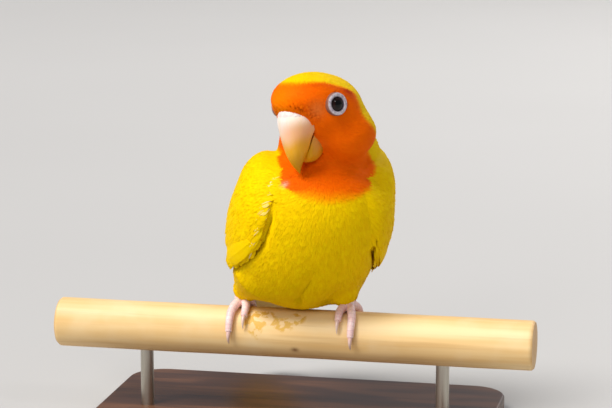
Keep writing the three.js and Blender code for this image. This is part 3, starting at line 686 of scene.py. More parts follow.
def scatter(grid, weight, count):
    """Well spread places (row, side) on a grid of points, as dense as weight says."""
    rows, sides = grid.shape[0] - 1, grid.shape[1]
    corner = np.concatenate([grid, grid[:, :1]], 1)
    a, b, c = corner[:-1, :-1], corner[1:, :-1], corner[:-1, 1:]
    cell = np.linalg.norm(np.cross(b - a, c - a), axis=2) * weight
    per_row = cell.sum(1)
    down = np.concatenate([[0], np.cumsum(per_row)]) / per_row.sum()
    k = np.arange(count)
    u = (k + 0.5) / count
    row = np.clip(np.searchsorted(down, u, side="right") - 1, 0, rows - 1)
    row_share = (u - down[row]) / np.maximum(down[row + 1] - down[row], 1e-12)
    across = np.cumsum(cell, 1) / np.maximum(per_row, 1e-12)[:, None]
    across[:, -1] = 1.0
    lined = (across + np.arange(rows)[:, None]).ravel()
    golden = (math.sqrt(5) - 1) / 2
    v = (k * golden) % 1.0
    side = np.clip(np.searchsorted(lined, row + v * 0.999999) - row * sides, 0, sides - 1)
    before = np.where(side > 0, across[row, side - 1], 0.0)
    side_share = (v - before) / np.maximum(across[row, side] - before, 1e-12)
    return row + row_share, side + np.clip(side_share, 0, 1)


def at_grid(grid, row, side):
    """Points between the corners of a grid that closes round its sides."""
    rows, sides = grid.shape[0] - 1, grid.shape[1]
    r = np.clip(row.astype(int), 0, rows - 1)
    s = side.astype(int) % sides
    f, g = (row - r)[:, None], (side - np.floor(side))[:, None]
    after = (s + 1) % sides
    return mix(mix(grid[r, s], grid[r, after], g), mix(grid[r + 1, s], grid[r + 1, after], g), f)


# The bill, in the head's frame, from the arches of the part's source. Each row has the ridge's and the edge's
# places forward and up, and the half width.
UPPER_BILL = [
    (12, 10, 6.5, 2.4, 5.4), (16.4, 8.4, 9, 1.8, 6.3), (18.7, 5.2, 10.8, 0.8, 6.3),
    (19.1, 0.9, 12, -0.8, 5.6), (19.3, -3.2, 12.8, -3, 4.6), (19.1, -7, 13.3, -5.6, 3.5),
    (18.1, -10, 14.4, -8.4, 2.2), (16.9, -12, 15.5, -10.8, 1.1), (15.9, -13.5, 15.9, -13.5, 0),
]
LOWER_BILL = [
    (3.2, -7.6, 7, 0.6, 4.3), (5.6, -10, 9.4, -0.6, 4.8), (8.4, -11.2, 11.1, -2, 4.7),
    (11, -11, 12.4, -4.2, 4.2), (12.9, -10.2, 13.2, -6.4, 3.3), (13.8, -8, 13.8, -8, 0),
]
BILL_FULLNESS = 0.75
BILL_INSIDE = vec(0, -13, 4)
CERE_AT, CERE_SQUARE = vec(0, -18.6, 5.2), unit(vec(0, 0.3, 1))
NOSTRILS = [vec(4.1, -16.6, 5.1), vec(-4.1, -16.6, 5.1)]


def arch(keys, t, turn):
    """Points of a bill's outer face: t along it from root to tip, turn from -1 to 1 round its arch."""
    ridge_y, ridge_z, edge_y, edge_z, half = np.moveaxis(spline(keys, t), -1, 0)
    angle = turn * math.pi / 2
    up = np.abs(np.cos(angle)) ** BILL_FULLNESS
    x = np.maximum(half, 0) * np.sin(angle)
    return np.stack([x, -mix(edge_y, ridge_y, up), mix(edge_z, ridge_z, up)], -1)


def arch_turns(sides):
    return np.sin(np.linspace(-math.pi / 2, math.pi / 2, sides))


def bill_rows(keys, rows, sides, hollow):
    """Rings round a bill: the outer arch, then back across the inner face, drawn towards the ridge."""
    t = 1 - (1 - np.linspace(0, 1, rows + 1)[:-1, None]) ** 1.15
    inner_turn = np.linspace(0.9, -0.9, sides // 2)
    edges, ridge = arch(keys, t, np.sign(inner_turn)), arch(keys, t, 0)
    inner = mix(edges, ridge, (hollow * (1 - inner_turn**2))[None, :, None])
    inner[..., 0] = np.abs(edges[..., 0]) * inner_turn
    return np.concatenate([arch(keys, t, arch_turns(sides)), inner], 1)


def cere_rows(rows=46, sides=56):
    """The cere: swollen skin over the upper bill's root, sunk at its lower edge, with a pit at each nostril."""
    turn = arch_turns(sides)
    wave = np.cos(1.5 * math.pi * turn)
    fine = np.linspace(0, 0.5, 400)
    below = (arch(UPPER_BILL, fine[:, None], turn) - CERE_AT) @ CERE_SQUARE + 0.35 * wave < 0
    share = np.linspace(0.0, 1.0, rows)[:, None]
    t = np.where(below.any(0), fine[np.argmax(below, 0)], 0.02) * share
    outer = arch(UPPER_BILL, t, turn)
    along = arch(UPPER_BILL, t + 0.004, turn) - outer
    after, before = np.clip(turn + 0.02, -1, 1), np.clip(turn - 0.02, -1, 1)
    normal = unit(np.cross(along, arch(UPPER_BILL, t, after) - arch(UPPER_BILL, t, before)))
    normal = normal * np.sign(((outer - BILL_INSIDE) * normal).sum(-1, keepdims=True))
    rise = mix(-0.2, 0.3, smooth(1 - share, -0.1, 0.5)) + 0.48 * wave * share * (1 - share)
    rise = rise - 0.55 * smooth(np.abs(turn), 0.8, 0.98) * smooth(share, 0.1, 0.3)
    for spot in NOSTRILS:
        gap = np.linalg.norm(outer - spot, axis=-1)
        rise = rise + 0.15 * hill(gap - 0.85, 0.3) - smooth(-gap, -0.65, -0.25)
    back = outer - normal * 0.8
    return np.concatenate([outer + normal * rise[..., None], back[:, ::-1]], 1)


def head_mesh(name, points, faces):
    return new_mesh(name, body_to_part(head_to_body(points)), faces)


def make_bill():
    horn = Nodes("bill_horn")
    streaks = horn.noise(380, 4, 0.6, stretch=(1.0, 1.0, 0.25))
    colour = horn.layers(
        horn.mix(horn.attribute("root"), "e8a200", "fcefe8"),
        (horn.attribute("blush"), "f0a880"),
        (horn.range(streaks, 0.35, 0.75, 0.0, 0.25), "f0c468"),
        (horn.attribute("tip"), "c88c0c"))
    horn.set(Base_Color=colour, Roughness=0.4, Specular_IOR_Level=0.18)
    horn.set(Subsurface_Weight=0.04, Subsurface_Radius=(0.003, 0.0016, 0.0008), Subsurface_Scale=0.4)
    horn.bump(streaks, 0.25, 0.00006)
    for name, keys, hollow in (("bill_upper", UPPER_BILL, 0.25), ("bill_lower", LOWER_BILL, 0.2)):
        points, faces = closed_rows(bill_rows(keys, 72, 56, hollow), end=arch(keys, np.ones(1), np.zeros(1)))
        left, height = points[:, 0], points[:, 2]
        if name == "bill_upper":
            # Painted shade: the far side of the bill, away from the light, is painted a deeper gold and keeps
            # less of the pale root.
            shaded_side = smooth(left, 0.5, 5.0)
            root = smooth(height - 3.0 * shaded_side, -5.5, 4.0) * (1 - 0.35 * shaded_side * smooth(-height, -5, 0))
            tip = smooth(-height, 4.5, 11.5)
            blush = 0.7 * hill(height - 0.6, 3.0) * smooth(left, -4.5, 2.0)
        else:
            root, tip = np.zeros(len(points)), np.full(len(points), 0.55)
            blush = 0.6 * smooth(np.abs(left), 3.7, 4.8)
        mesh = head_mesh(name, points, faces)
        set_values(mesh, root=root, tip=tip, blush=blush)
        piece(name + "_horn", mesh, horn.material, (name,))
    skin = Nodes("cere_skin")
    colour = skin.mix(skin.attribute("pit"), skin.mottled(700, "f2ddd6", "fcf0ea"), "6d4a55")
    skin.set(Base_Color=colour, Roughness=0.5, Subsurface_Weight=0.1, Subsurface_Scale=0.3)
    skin.bump(skin.noise(1600, 2), 0.3, 0.00005)
    points, faces = closed_rows(cere_rows())
    mesh = head_mesh("cere", points, faces)
    nearest = np.min([np.linalg.norm(points - spot, axis=1) for spot in NOSTRILS], axis=0)
    set_values(mesh, pit=smooth(-nearest, -0.8, -0.35))
    piece("cere_skin", mesh, skin.material, ("cere",))


# Eyes, in the head's frame
EYE_AT = vec(12.5, -6.5, 6.8)
EYE_FACING = unit(vec(0.97, -0.24, 0.09))
EYE = {"radius": 3.3, "proud": 1.15}
RING = {"opening": 2.3, "outer": 3.7, "proud": 0.75}
RING_SIDES = 120


def eye_frame(side):
    facing = EYE_FACING * vec(side, 1, 1)
    up = unit(vec(0, 0, 1) - facing * facing[2])
    return EYE_AT * vec(side, 1, 1), facing, np.cross(up, facing), up


def from_eye(side, q):
    """How far points of the head lie along an eye's axis and from it."""
    at, facing, _, _ = eye_frame(side)
    offset = q - at
    depth = offset @ facing
    return depth, np.linalg.norm(offset - depth[:, None] * facing, axis=1)


def round_eye(side, profile, sides):
    """Rings about an eye's axis, with the radii and heights that profile gives for the angles round it."""
    at, facing, across, up = eye_frame(side)
    angle = ring_angles(sides)
    out = np.cos(angle)[:, None] * across + np.sin(angle)[:, None] * up
    rings = []
    for pair in profile(angle):
        radius, height = (np.broadcast_to(one, angle.shape)[:, None] for one in pair)
        rings.append(at + out * radius + facing * height)
    return np.array(rings)


def make_eyes():
    ball = Nodes("eyeball")
    spread = ball.attribute("spread")
    colour = ball.layers(
        "020102",
        (ball.range(spread, 1.15, 1.35), ball.mottled(1500, "120504", "260b08")),
        (ball.range(spread, 1.95, 2.3), "0a0405"))
    ball.set(Base_Color=colour, Roughness=0.08, Coat_Weight=0.1, Coat_Roughness=0.02, Specular_IOR_Level=0.22)
    rim = Nodes("eye_ring_skin")
    colour = rim.layers(
        rim.mottled(900, "b9a8b4", "eee2e8"),
        (rim.attribute("lid"), "5c4c5a"),
        (rim.attribute("hem"), "8a5a48"))
    rim.set(Base_Color=colour, Roughness=0.5, Subsurface_Weight=0.1, Subsurface_Scale=0.3)
    rim.bump(rim.noise(2200, 2), 0.3, 0.00004)
    opening, outer, proud = RING["opening"], RING["outer"], RING["proud"]
    centre = EYE["proud"] - EYE["radius"]
    lid = math.sqrt((EYE["radius"] + 0.04) ** 2 - opening**2) + centre

    def ball_profile(_):
        for a in np.radians(np.linspace(176, 4, 34)):
            yield EYE["radius"] * math.sin(a), centre + EYE["radius"] * math.cos(a)

    def ring_profile(angle):
        grains = [0.5 + 0.5 * np.cos(30 * angle + shift) for shift in (0.0, 1.6, 3.1)]
        yield opening + 0.35, lid - 0.9
        yield opening - 0.02, lid - 0.15
        yield opening - 0.06, lid + 0.03
        yield opening + 0.05, lid + 0.15
        yield opening + 0.2, lid + 0.12 + 0.04 * grains[0]
        yield opening + 0.36, proud - 0.03 + 0.1 * grains[0]
        yield opening + 0.55, proud - 0.1
        yield opening + 0.75, proud - 0.02 + 0.12 * grains[1]
        yield opening + 0.95, proud - 0.16
        yield opening + 1.12, proud - 0.14 + 0.12 * grains[2]
        yield opening + 1.3, proud - 0.36
        yield outer - 0.02, 0.18
        yield outer + 0.05, -0.3
        yield outer, centre
        yield opening + 0.9, centre

    for word, side in SIDES:
        points, faces = closed_rows(round_eye(side, ball_profile, 48))
        mesh = head_mesh("eyeball_" + word, points, faces)
        set_values(mesh, spread=from_eye(side, points)[1])
        piece("eyeball_" + word, mesh, ball.material, ("eye_" + word,))
        rings = round_eye(side, ring_profile, RING_SIDES)
        points = rings.reshape(-1, 3)
        index = np.arange(len(points)).reshape(-1, RING_SIDES)
        after, below = np.roll(index, -1, 1), np.roll(index, -1, 0)
        quads = np.stack([index, after, np.roll(below, -1, 1), below], -1).reshape(-1, 4)
        mesh = head_mesh("eye_ring_" + word, points, faces_out(points, [quads]))
        from_axis = from_eye(side, points)[1]
        lid_edge = smooth(-from_axis, -opening - 0.3, -opening - 0.05)
        hem = smooth(from_axis, outer - 0.35, outer - 0.02)
        set_values(mesh, lid=lid_edge + 0.4 * hill(from_axis - opening - 0.62, 0.1), hem=hem)
        piece("eye_ring_skin_" + word, mesh, rim.material, ("eye_ring_" + word,))


# The wings lie on the mantle: places along the back's axis, and degrees round from its ridge.
MANTLE_FROM = vec(0, -4, 47)
WING_FRONT, WING_END = -15.5, 64
WING_FOOT = np.array([
    (-15.5, 104), (-13, 124), (-9, 133), (-1, 139), (9, 134), (16, 130), (30, 112), (45, 95), (60, 78),
    (80, 56),
])
LEFT_TUCK = np.array([(-15.5, 0), (-9, 6), (16, 6), (30, 0)])
WING_TOP = np.array([(-15.5, 92), (-12, 76), (-9, 63), (-3, 46), (10, 24), (28, 11), (60, 9), (80, 22)])
LOWEST_VANE = 0.4
WING_PAD = {"end": 42.0, "low": 0.9, "thick": 1.5}
PLACE_STEP, DEGREE_STEP = 1.5, 3.0
MANTLE_PLACES, MANTLE_DEGREES = np.arange(-18, 90, PLACE_STEP), np.arange(-10, 152, DEGREE_STEP)


def wing_edges(side, place):
    foot = np.interp(place, *WING_FOOT.T) - np.where(np.asarray(side) > 0, np.interp(place, *LEFT_TUCK.T), 0)
    return np.interp(place, *WING_TOP.T), foot


def pad_height(side, place, degrees):
    """How high the top of the wing's pad lies over the mantle: a low dome with a round rim."""
    top, foot = wing_edges(side, place)
    across = np.clip((degrees - top) / (foot - top), 0, 1)
    along = np.clip((place - WING_FRONT) / (WING_PAD["end"] - WING_FRONT), 0, 1) ** 0.7
    full = (np.sin(math.pi * along) * np.sin(math.pi * across) + 0.004) ** 0.4
    return WING_PAD["low"] + WING_PAD["thick"] * full


def wing_ramp(place):
    """The wing rises slowly out of the shoulder's feathers, from 0 to 1."""
    return smooth(place, WING_FRONT - 2.5, WING_FRONT + 7)


def mantle_out(side, turn):
    """Directions from the back's axis, turned from its ridge towards a side."""
    return np.cos(turn)[..., None] * BACK_UP + np.sin(turn)[..., None] * vec(side, 0, 0)


def mantle_radii(side):
    place, turn = np.meshgrid(MANTLE_PLACES, np.radians(MANTLE_DEGREES), indexing="ij")
    start = MANTLE_FROM + place.reshape(-1, 1) * BACK_AXIS
    return reach(mantle_distance, start, mantle_out(side, turn.ravel()), 60.0).reshape(place.shape)


MANTLES = {side: mantle_radii(side) for _, side in SIDES}


def mantle_radius(side, place, degrees):
    table = MANTLES[side]
    x = np.clip((place - MANTLE_PLACES[0]) / PLACE_STEP, 0, len(MANTLE_PLACES) - 1.001)
    y = np.clip((degrees - MANTLE_DEGREES[0]) / DEGREE_STEP, 0, len(MANTLE_DEGREES) - 1.001)
    i, j = x.astype(int), y.astype(int)
    f, g = x - i, y - j
    return mix(mix(table[i, j], table[i + 1, j], f), mix(table[i, j + 1], table[i + 1, j + 1], f), g)


def on_mantle(side, place, degrees, out):
    place, degrees, out = np.broadcast_arrays(place, degrees, out)
    outward = mantle_out(side, np.radians(degrees)) * (mantle_radius(side, place, degrees) + out)[..., None]
    return MANTLE_FROM + place[..., None] * BACK_AXIS + outward


def wing_gaps(p):
    """Where points are on the mantle: place, side, how far inside the wing's top and foot, degrees round."""
    offset = p - MANTLE_FROM
    place, side = offset @ BACK_AXIS, np.where(offset[:, 0] >= 0, 1, -1)
    degrees = np.degrees(np.arctan2(np.abs(offset[:, 0]), offset @ BACK_UP))
    top, foot = wing_edges(side, place)
    arc = np.radians(np.linalg.norm(offset - place[:, None] * BACK_AXIS, axis=1))
    return place, side, (degrees - top) * arc, (foot - degrees) * arc, degrees


def wing_pad(side):
    """The wing's own body under its feathers: a low dome with a round rim, sunk into the coat all round."""
    along, turn = np.linspace(0, 1, 61)[:, None], np.linspace(0, math.pi, 41)
    place = mix(WING_FRONT - 0.2, WING_PAD["end"], along**1.3)
    degrees = mix(*wing_edges(side, place), 0.01 + 0.98 * (0.5 - 0.5 * np.cos(turn)))
    ramp = wing_ramp(place)
    top = on_mantle(side, place, degrees, pad_height(side, place, degrees) * ramp - 0.75 + 0.4 * ramp)
    bottom = on_mantle(side, place, degrees, -1.2)
    return closed_rows(np.concatenate([top, bottom[:, ::-1]], 1))


VANE_ACROSS = np.array([-1, -0.8, -0.45, -0.07, 0, 0.07, 0.45, 0.8, 1])
SHAFT_RIDGE = 0.07


def vane_width(t):
    rounding = np.clip((t - 0.68) / 0.32, 0, 1)
    return np.minimum(0.5 + 1.5 * t, 1) * np.sqrt(np.maximum(1 - rounding**2.2, 0.0)) * (1 - 0.06 * t)


def vane_sheet(line, steps, thick, cup):
    """A closed vane: line(t, across, out) gives a point, for arrays of t and across from -1 to 1."""
    t = np.minimum(1 - (1 - np.linspace(0, 1, steps + 1)) ** 1.25, 0.985)
    t, across = np.meshgrid(t, VANE_ACROSS, indexing="ij")
    bow = -cup * across**2
    shaft = SHAFT_RIDGE * (across == 0) * (1 - 0.7 * t)
    rim = thick / 2 * np.where(np.abs(across) == 1, 0.3, 1.0)
    top, bottom = line(t, across, bow + rim + shaft), line(t, across, bow - rim - 0.5 * shaft)
    points = np.vstack([top.reshape(-1, 3), bottom.reshape(-1, 3)])
    index = np.arange(t.size).reshape(t.shape)
    upper = np.stack([index[:-1, :-1], index[:-1, 1:], index[1:, 1:], index[1:, :-1]], -1).reshape(-1, 4)
    lower = upper[:, [0, 3, 2, 1]] + t.size
    rim_index = np.concatenate([index[0, :-1], index[:-1, -1], index[-1, :0:-1], index[:0:-1, 0]])
    after = np.roll(rim_index, -1)
    wall = np.stack([rim_index, rim_index + t.size, after + t.size, after], -1)
    uv = np.tile(np.stack([(across + 1) / 2, t], -1).reshape(-1, 2), (2, 1))
    return points, faces_out(points, [upper, lower, wall]), uv


def vane_piece(name, vanes, tones, pale, node):
    """Vanes joined into one piece, each with its own patch of the unwrap and palest at its tip."""
    points, faces = joined([(p, f) for p, f, _ in vanes])
    uv = np.vstack([one for _, _, one in vanes])
    owner = np.repeat(np.arange(len(vanes)), [len(p) for p, _, _ in vanes])
    mesh = new_mesh(name, body_to_part(points), faces)
    plain = dict.fromkeys(MARK_NAMES, np.zeros(len(points)))
    set_values(mesh, **{**plain, "pale": pale * smooth(uv[:, 1], 0.0, 0.8), "tone": np.array(tones)[owner]})
    columns = math.ceil(math.sqrt(len(vanes)))
    corner = np.stack([owner % columns, owner // columns], 1)
    set_map(mesh, "OFBake", (corner + 0.08 + 0.84 * uv) / columns)
    set_map(mesh, "vane", uv)
    mesh.set_sharp_from_angle(angle=math.radians(50))
    piece(name, mesh, vane_material, (node,))


# Tiers of a wing: how many, steps, roots and tips of the upper and lower one, the spread, half width,
# heights, lean and how pale.
WING_TIERS = [
    ("primaries", 7, 22, (40, 30), (66, 80), (0.3, 0.95), 2.5, (1.1, 1.3), 0.55, 0.6),
    ("secondaries", 9, 20, (24, 22), (60, 50), (0.06, 0.68), 3.2, (1.5, 2.0), 0.4, 0.0),
    ("primary_coverts", 5, 14, (22, 18), (37, 42), (0.7, 0.95), 2.5, (1.5, 2.0), 0.35, 0.15),
    ("greater_coverts", 10, 14, (12, 8), (33, 28), (0.08, 0.94), 2.9, (1.8, 2.4), 0.3, 0.0),
    ("median_coverts", 11, 12, (3, 0), (20, 17), (0.08, 0.94), 2.7, (2.0, 2.6), 0.26, 0.0),
]


def wing_vanes(tier, side, draw):
    count, steps, roots, tips, span, width, rise, lean = tier
    vanes, tones = [], []
    for share in np.arange(count) / (count - 1):
        across = mix(*span, share) + 0.006 * draw.normal()
        root, tip = mix(*roots, share), mix(*tips, share) + 0.5 * draw.normal()
        half, twist = width * (1 + 0.05 * draw.normal()), 0.8 * draw.normal()

        def line(t, c, out):
            place = mix(root, tip, t)
            degrees = mix(*wing_edges(side, place), across)
            radius = np.maximum(mantle_radius(side, place, np.clip(degrees, 0, 150)), 5)
            degrees = degrees + np.degrees(c * half * vane_width(t) / radius) + twist * t**2
            height = mix(*rise, t) - lean * c + out
            return on_mantle(side, place, np.maximum(degrees, 2.0), np.maximum(height, LOWEST_VANE))

        vanes.append(vane_sheet(line, steps, 0.16, 0.16))
        tones.append(draw.uniform(0.25, 0.9))
    return vanes, tones


def make_wings():
    for word, side in SIDES:
        draw = np.random.default_rng(40 + side)
        node = "wing_" + word
        points, faces = wing_pad(side)
        mesh = new_mesh(node + "_pad", body_to_part(points), faces)
        plain = dict.fromkeys(MARK_NAMES, np.zeros(len(points)))
        set_values(mesh, tone=np.full(len(points), 0.5), **plain)
        set_map(mesh, "vane", np.full((len(points), 2), PLAIN_VANE))
        piece(node + "_pad", mesh, coat_material, (node,))
        for name, *tier, pale in WING_TIERS:
            vane_piece(f"{node}_{name}", *wing_vanes(tier, side, draw), pale, node)


# The tail, as in the part's source, with more feathers: how many, steps, root, tip, how much shorter the
# outer ones are, half width, heights, lean and how pale.
TAIL_FROM = vec(0, 33, 13.5)
TAIL_ROWS = [
    ("feathers", 12, 26, 2, 50, 12, 3.4, (0.4, -0.8), 0.7, 0.1),
    ("upper_coverts", 7, 14, 1, 31, 7, 3.0, (3.3, 1.7), 0.45, 0.7),
    ("upper_coverts_short", 8, 12, -3, 19, 5, 2.8, (4.6, 3.6), 0.4, 0.7),
    ("under_coverts", 7, 14, 1, 28, 6, 3.0, (-3.4, -3.5), -0.45, 0.45),
    ("under_coverts_short", 8, 12, -3, 16, 4, 2.8, (-5.4, -5.0), -0.4, 0.45),
]


def make_tail():
    draw = np.random.default_rng(7)
    for name, count, steps, root, tip, short, width, high, lean, pale in TAIL_ROWS:
        vanes, tones = [], []
        for from_middle in sorted(np.arange(count) - (count - 1) / 2, key=lambda one: -abs(one)):
            outward = from_middle / (count / 2)
            end = tip - short * abs(outward) ** 1.6 + 0.4 * draw.normal()
            half, stack = width * (1 + 0.04 * draw.normal()), 0.5 * lean * (1 - abs(outward))
            side = 1 if outward > 0 else -1

            def line(t, c, out):
                place = mix(root, end, t)
                aside = outward * 5.4 + math.tan(math.radians(9 * outward)) * place + c * half * vane_width(t)
                height = mix(*high, t) + stack + side * lean * c * -0.6 + out - 0.012 * aside**2
                along = place[..., None] * BACK_AXIS + height[..., None] * BACK_UP
                return TAIL_FROM + along + aside[..., None] * vec(1, 0, 0)

            vanes.append(vane_sheet(line, steps, 0.18, 0.14))
            tones.append(draw.uniform(0.3, 0.9))
        vane_piece("tail_" + name, vanes, tones, pale, "tail")


# The coat's feathers
BILL_ROOT = vec(0, -13, 1)
ROOT_ROWS, ROOT_SIDES = 170, 160
WING_COAT_END = 9.0
HEAD_REACH = 24


def flow(q, normals):
    """The lie of the coat: away from the bill on the head, then down the breast and back to the tail."""
    from_bill = (q - BILL_ROOT) @ HEAD_TURNED.T
    on_head = 1 - smooth(np.linalg.norm(q, axis=1), 15, 27)
    towards = unit(from_bill) * on_head[:, None] + BACK_AXIS * (1 - on_head)[:, None]
    return along_surface(towards, normals)


def eye_gap(q):
    """How far points lie from the nearer eye's axis, where they are on its side."""
    gap = np.full(len(q), 99.0)
    for _, side in SIDES:
        depth, radial = from_eye(side, q)
        gap = np.where(depth > -6, np.minimum(gap, radial), gap)
    return gap


class NearBill:
    """Tells how far points of the head are outside the bill and the cere, where they are near them."""

    def __init__(self):
        places, outs = [], []
        sides = 40
        bills = (bill_rows(UPPER_BILL, 40, sides, 0.2), bill_rows(LOWER_BILL, 30, sides, 0.2))
        for rings in (*bills, cere_rows(24, sides)):
            face = rings[:, :sides]
            normal = unit(np.cross(np.gradient(face, axis=0), np.gradient(face, axis=1)))
            outward = ((face - rings.mean(1, keepdims=True)) * normal).sum(-1, keepdims=True)
            places.append(face.reshape(-1, 3))
            outs.append((normal * np.sign(outward)).reshape(-1, 3))
        self.places, self.outs = np.vstack(places), np.vstack(outs)
        self.tree = kdtree.KDTree(len(self.places))
        for i, place in enumerate(self.places):
            self.tree.insert(place, i)
        self.tree.balance()

    def gap(self, q):
        gap = np.full(len(q), 99.0)
        for i in np.flatnonzero((q[:, 1] < -2) & (np.linalg.norm(q, axis=1) < HEAD_REACH)):
            _, k, far = self.tree.find(q[i])
            outside = (q[i] - self.places[k]) @ self.outs[k]
            gap[i] = outside if far < 2.5 else (far if outside > 0 or q[i, 1] > -9 else -far)
        return gap


def wing_cover(p, within):
    """How far the coat is lifted over a wing's pad. Blades rooted within it stay as high past its foot."""
    place, side, from_top, from_foot, degrees = wing_gaps(p)
    rise = pad_height(side, place, degrees) + 0.1 + 0.6 * smooth(place, 8, 26)
    rise = rise * smooth(from_top, -3.2, 1.0) * wing_ramp(place)
    rise = rise * (1.0 if within else smooth(from_foot, -2.8, 0.6))
    return rise * (1 - smooth(place, 50, WING_END))


def coat_roots(count, weigh):
    """Roots spread over the body (0) and the thighs (1, 2), their places on the unwrap and that number."""
    grid = cast_grid(coat_distance, body_rays, ROOT_ROWS, ROOT_SIDES)
    weight = weigh(grid.reshape(-1, 3)).reshape(grid.shape[:2])[:-1]
    row, side = scatter(grid, weight, count)
    row = np.clip(row + rng.normal(0, 0.13, count), 0.3, ROOT_ROWS - 0.3)
    side = (side + rng.normal(0, 0.13, count)) % ROOT_SIDES
    roots, maps = [at_grid(grid, row, side)], [unwrapped("body", row / ROOT_ROWS, side / ROOT_SIDES)]
    for word, _ in SIDES:
        thigh = thigh_grid(word)
        share = np.where(np.arange(THIGH_ROWS)[:, None] > 14, 1.0, 0.02)
        row, side = scatter(thigh, share, count // 16)
        roots.append(at_grid(thigh, row, side))
        maps.append(unwrapped(word, row / THIGH_ROWS, side / THIGH_SIDES))
    owner = np.repeat((0, 1, 2), [len(one) for one in roots])
    roots, maps = np.vstack(roots), np.vstack(maps)
    for _ in range(3):
        roots = roots - gradient(coat_distance, roots) * coat_distance(roots)[:, None]
    keep = (owner == 0) | (flesh_distance(roots) > 1.2)
    return roots[keep], maps[keep], owner[keep]


def face_size(q):
    """From 0 at the bill to 1 over the body: how large the coat's feathers are."""
    return smooth(np.linalg.norm(q - BILL_ROOT, axis=1), 3, 42)


def coat_regions(roots, q, within, side):
    """The roots of each of the coat's regions."""
    head = (np.linalg.norm(q, axis=1) < HEAD_REACH) & (q[:, 2] > -14) & ~within
    rest = ~(head | within)
    ahead, front = q[:, 1] < 0, roots[:, 1] < -2
    return {
        "face": head & ahead, "crown": head & ~ahead, "breast": rest & front, "back": rest & ~front,
        "wing_left": within & (side > 0), "wing_right": within & (side < 0)}


def lay_coat(name, pattern, count, sizes, bill):
    """One layer of the coat. Sizes: spacing, length, half width, low, high and thickness, face and body."""
    spacing, long, wide, low, high, thick = sizes

    def weigh(p):
        place, _, from_top, from_foot, _ = wing_gaps(p)
        covered = (from_top > 2.0) & (from_foot > 3.0) & (place > WING_COAT_END) & (place < WING_END)
        return np.where(covered, 0.0, 1 / mix(*spacing, face_size(body_to_head(p))) ** 2)

    roots, maps, owner = coat_roots(count, weigh)
    normals, q = gradient(coat_distance, roots), body_to_head(roots)
    size = face_size(q)
    total = len(roots)
    length = mix(*long, size**0.85) * rng.uniform(0.85, 1.15, total)
    half = mix(*wide, size) * rng.uniform(0.85, 1.15, total)
    lies = flow(q, normals)
    for number, (hip, ankle) in enumerate(thigh_ends.values(), 1):
        lies = np.where((owner == number)[:, None], along_surface(unit(ankle - hip), normals), lies)
    length = np.where(owner > 0, length * 0.6, length)

    # On a wing the feathers are short at its foot and in front. Those beside it climb its pad.
    place, side, from_top, from_foot, _ = wing_gaps(roots)
    beside = (place > WING_FRONT - 6) & (place < WING_END)
    within = beside & (from_top > 0) & (from_foot > 0.2) & (place > WING_FRONT + 0.5)
    climbs = beside & ~within & ((from_top < 1.0) | (place < WING_FRONT + 2) | ((side > 0) & (place < -7)))
    climbs &= (from_foot > 0) | (side > 0) | (place < WING_FRONT + 1)
    length = np.where(within & (place > 7) & (from_foot < 4), np.minimum(length, 2.8), length)
    near_front = within & (pattern is FEATHER) & (place < 7)
    length = np.where(near_front, mix(2.6, 5.2, smooth(place, WING_FRONT, 6)), length)
    half = np.where(near_front, mix(0.9, 1.5, smooth(place, WING_FRONT, 6)), half)

    # Most of those at the cere's upper brink lie the other way, over it. Those at an eye stop at its ring.
    beyond = bill.gap(q)
    brink = (beyond < 1.3) & (q[:, 2] > 2.5) & (q[:, 1] < -6)
    lies = np.where((brink & (rng.random(total) < 0.75))[:, None], -lies, lies)
    lies = unit(lies + np.cross(normals, lies) * rng.normal(0, 0.08, total)[:, None])
    gap, tip_gap = eye_gap(q), eye_gap(body_to_head(roots + lies * length[:, None]))
    limit = RING["outer"] - 0.6
    short = np.clip((gap - limit) / np.maximum(gap - tip_gap, 0.05), 0.25, 1)
    length = np.where(tip_gap < limit, length * short, length)
    keep = (gap > RING["outer"] - 0.35) & (beyond > -0.25)
    keep &= ~(within & (place > WING_COAT_END) & (from_top > 2.0) & ((from_foot > 3.0) | (place > 18)))
    keep &= ~(within & (pattern is BARB) & (from_top > 2.0) & (rng.random(total) < 0.6))
    roots, lies, length, half, q, maps, size = (a[keep] for a in (roots, lies, length, half, q, maps, size))
    within, climbs, place, from_foot, side = (a[keep] for a in (within, climbs, place, from_foot, side))
    total = len(roots)
    top = mix(*high, size) + rng.normal(0, 1, total) * mix(0.03, 0.07, size) + np.where(brink[keep], 0.3, 0.0)
    shapes = (length, half, -mix(*low, size), top, mix(*thick, size), rng.normal(0, 0.25, total))
    points, shading = np.zeros((2, total, pattern.count, 3))

    def cover(p):
        return -crease(p)

    def cover_beside(p):
        return wing_cover(p, False) - 0.3 * crease(p)

    def cover_within(p):
        return wing_cover(p, True) - 0.3 * crease(p)

    for lifted, chosen in ((cover, ~(within | climbs)), (cover_beside, climbs), (cover_within, within)):
        points[chosen], shading[chosen] = blades(
            pattern, lifted, roots[chosen], lies[chosen], *(one[chosen] for one in shapes))

    # The markings are read a little further along each blade, and painted highlights, pale flecks, lie on the
    # right wing's edge.
    shifted = points + (lies * rng.normal(0.1, 0.25, total)[:, None])[:, None]
    marks = {mark: values.reshape(total, -1) for mark, values in markings(shifted.reshape(-1, 3)).items()}
    marks["mask"] = np.where(within[:, None], 0.0, marks["mask"])
    edge = within & (from_foot < 1.6) & (side < 0) & (place < 12)
    painted_glint = np.where(edge & (rng.random(total) < 0.16), rng.uniform(0.15, 0.45, total), 0.0)
    marks["pale"] = np.maximum(marks["pale"], painted_glint[:, None])
    tone = np.clip(rng.normal(0.5, 0.12, total), 0, 1)
    for region, chosen in coat_regions(roots, q, within, side).items():
        chosen = np.flatnonzero(chosen)
        parts = np.array_split(chosen, math.ceil(len(chosen) * len(pattern.faces) / MOST_TRIANGLES))
        for part, some in enumerate(parts, 1):
            coat_piece(
                f"coat_{name}_{region}_{part}", pattern, points[some], shading[some],
                {mark: values[some] for mark, values in marks.items()}, tone[some], maps[some])


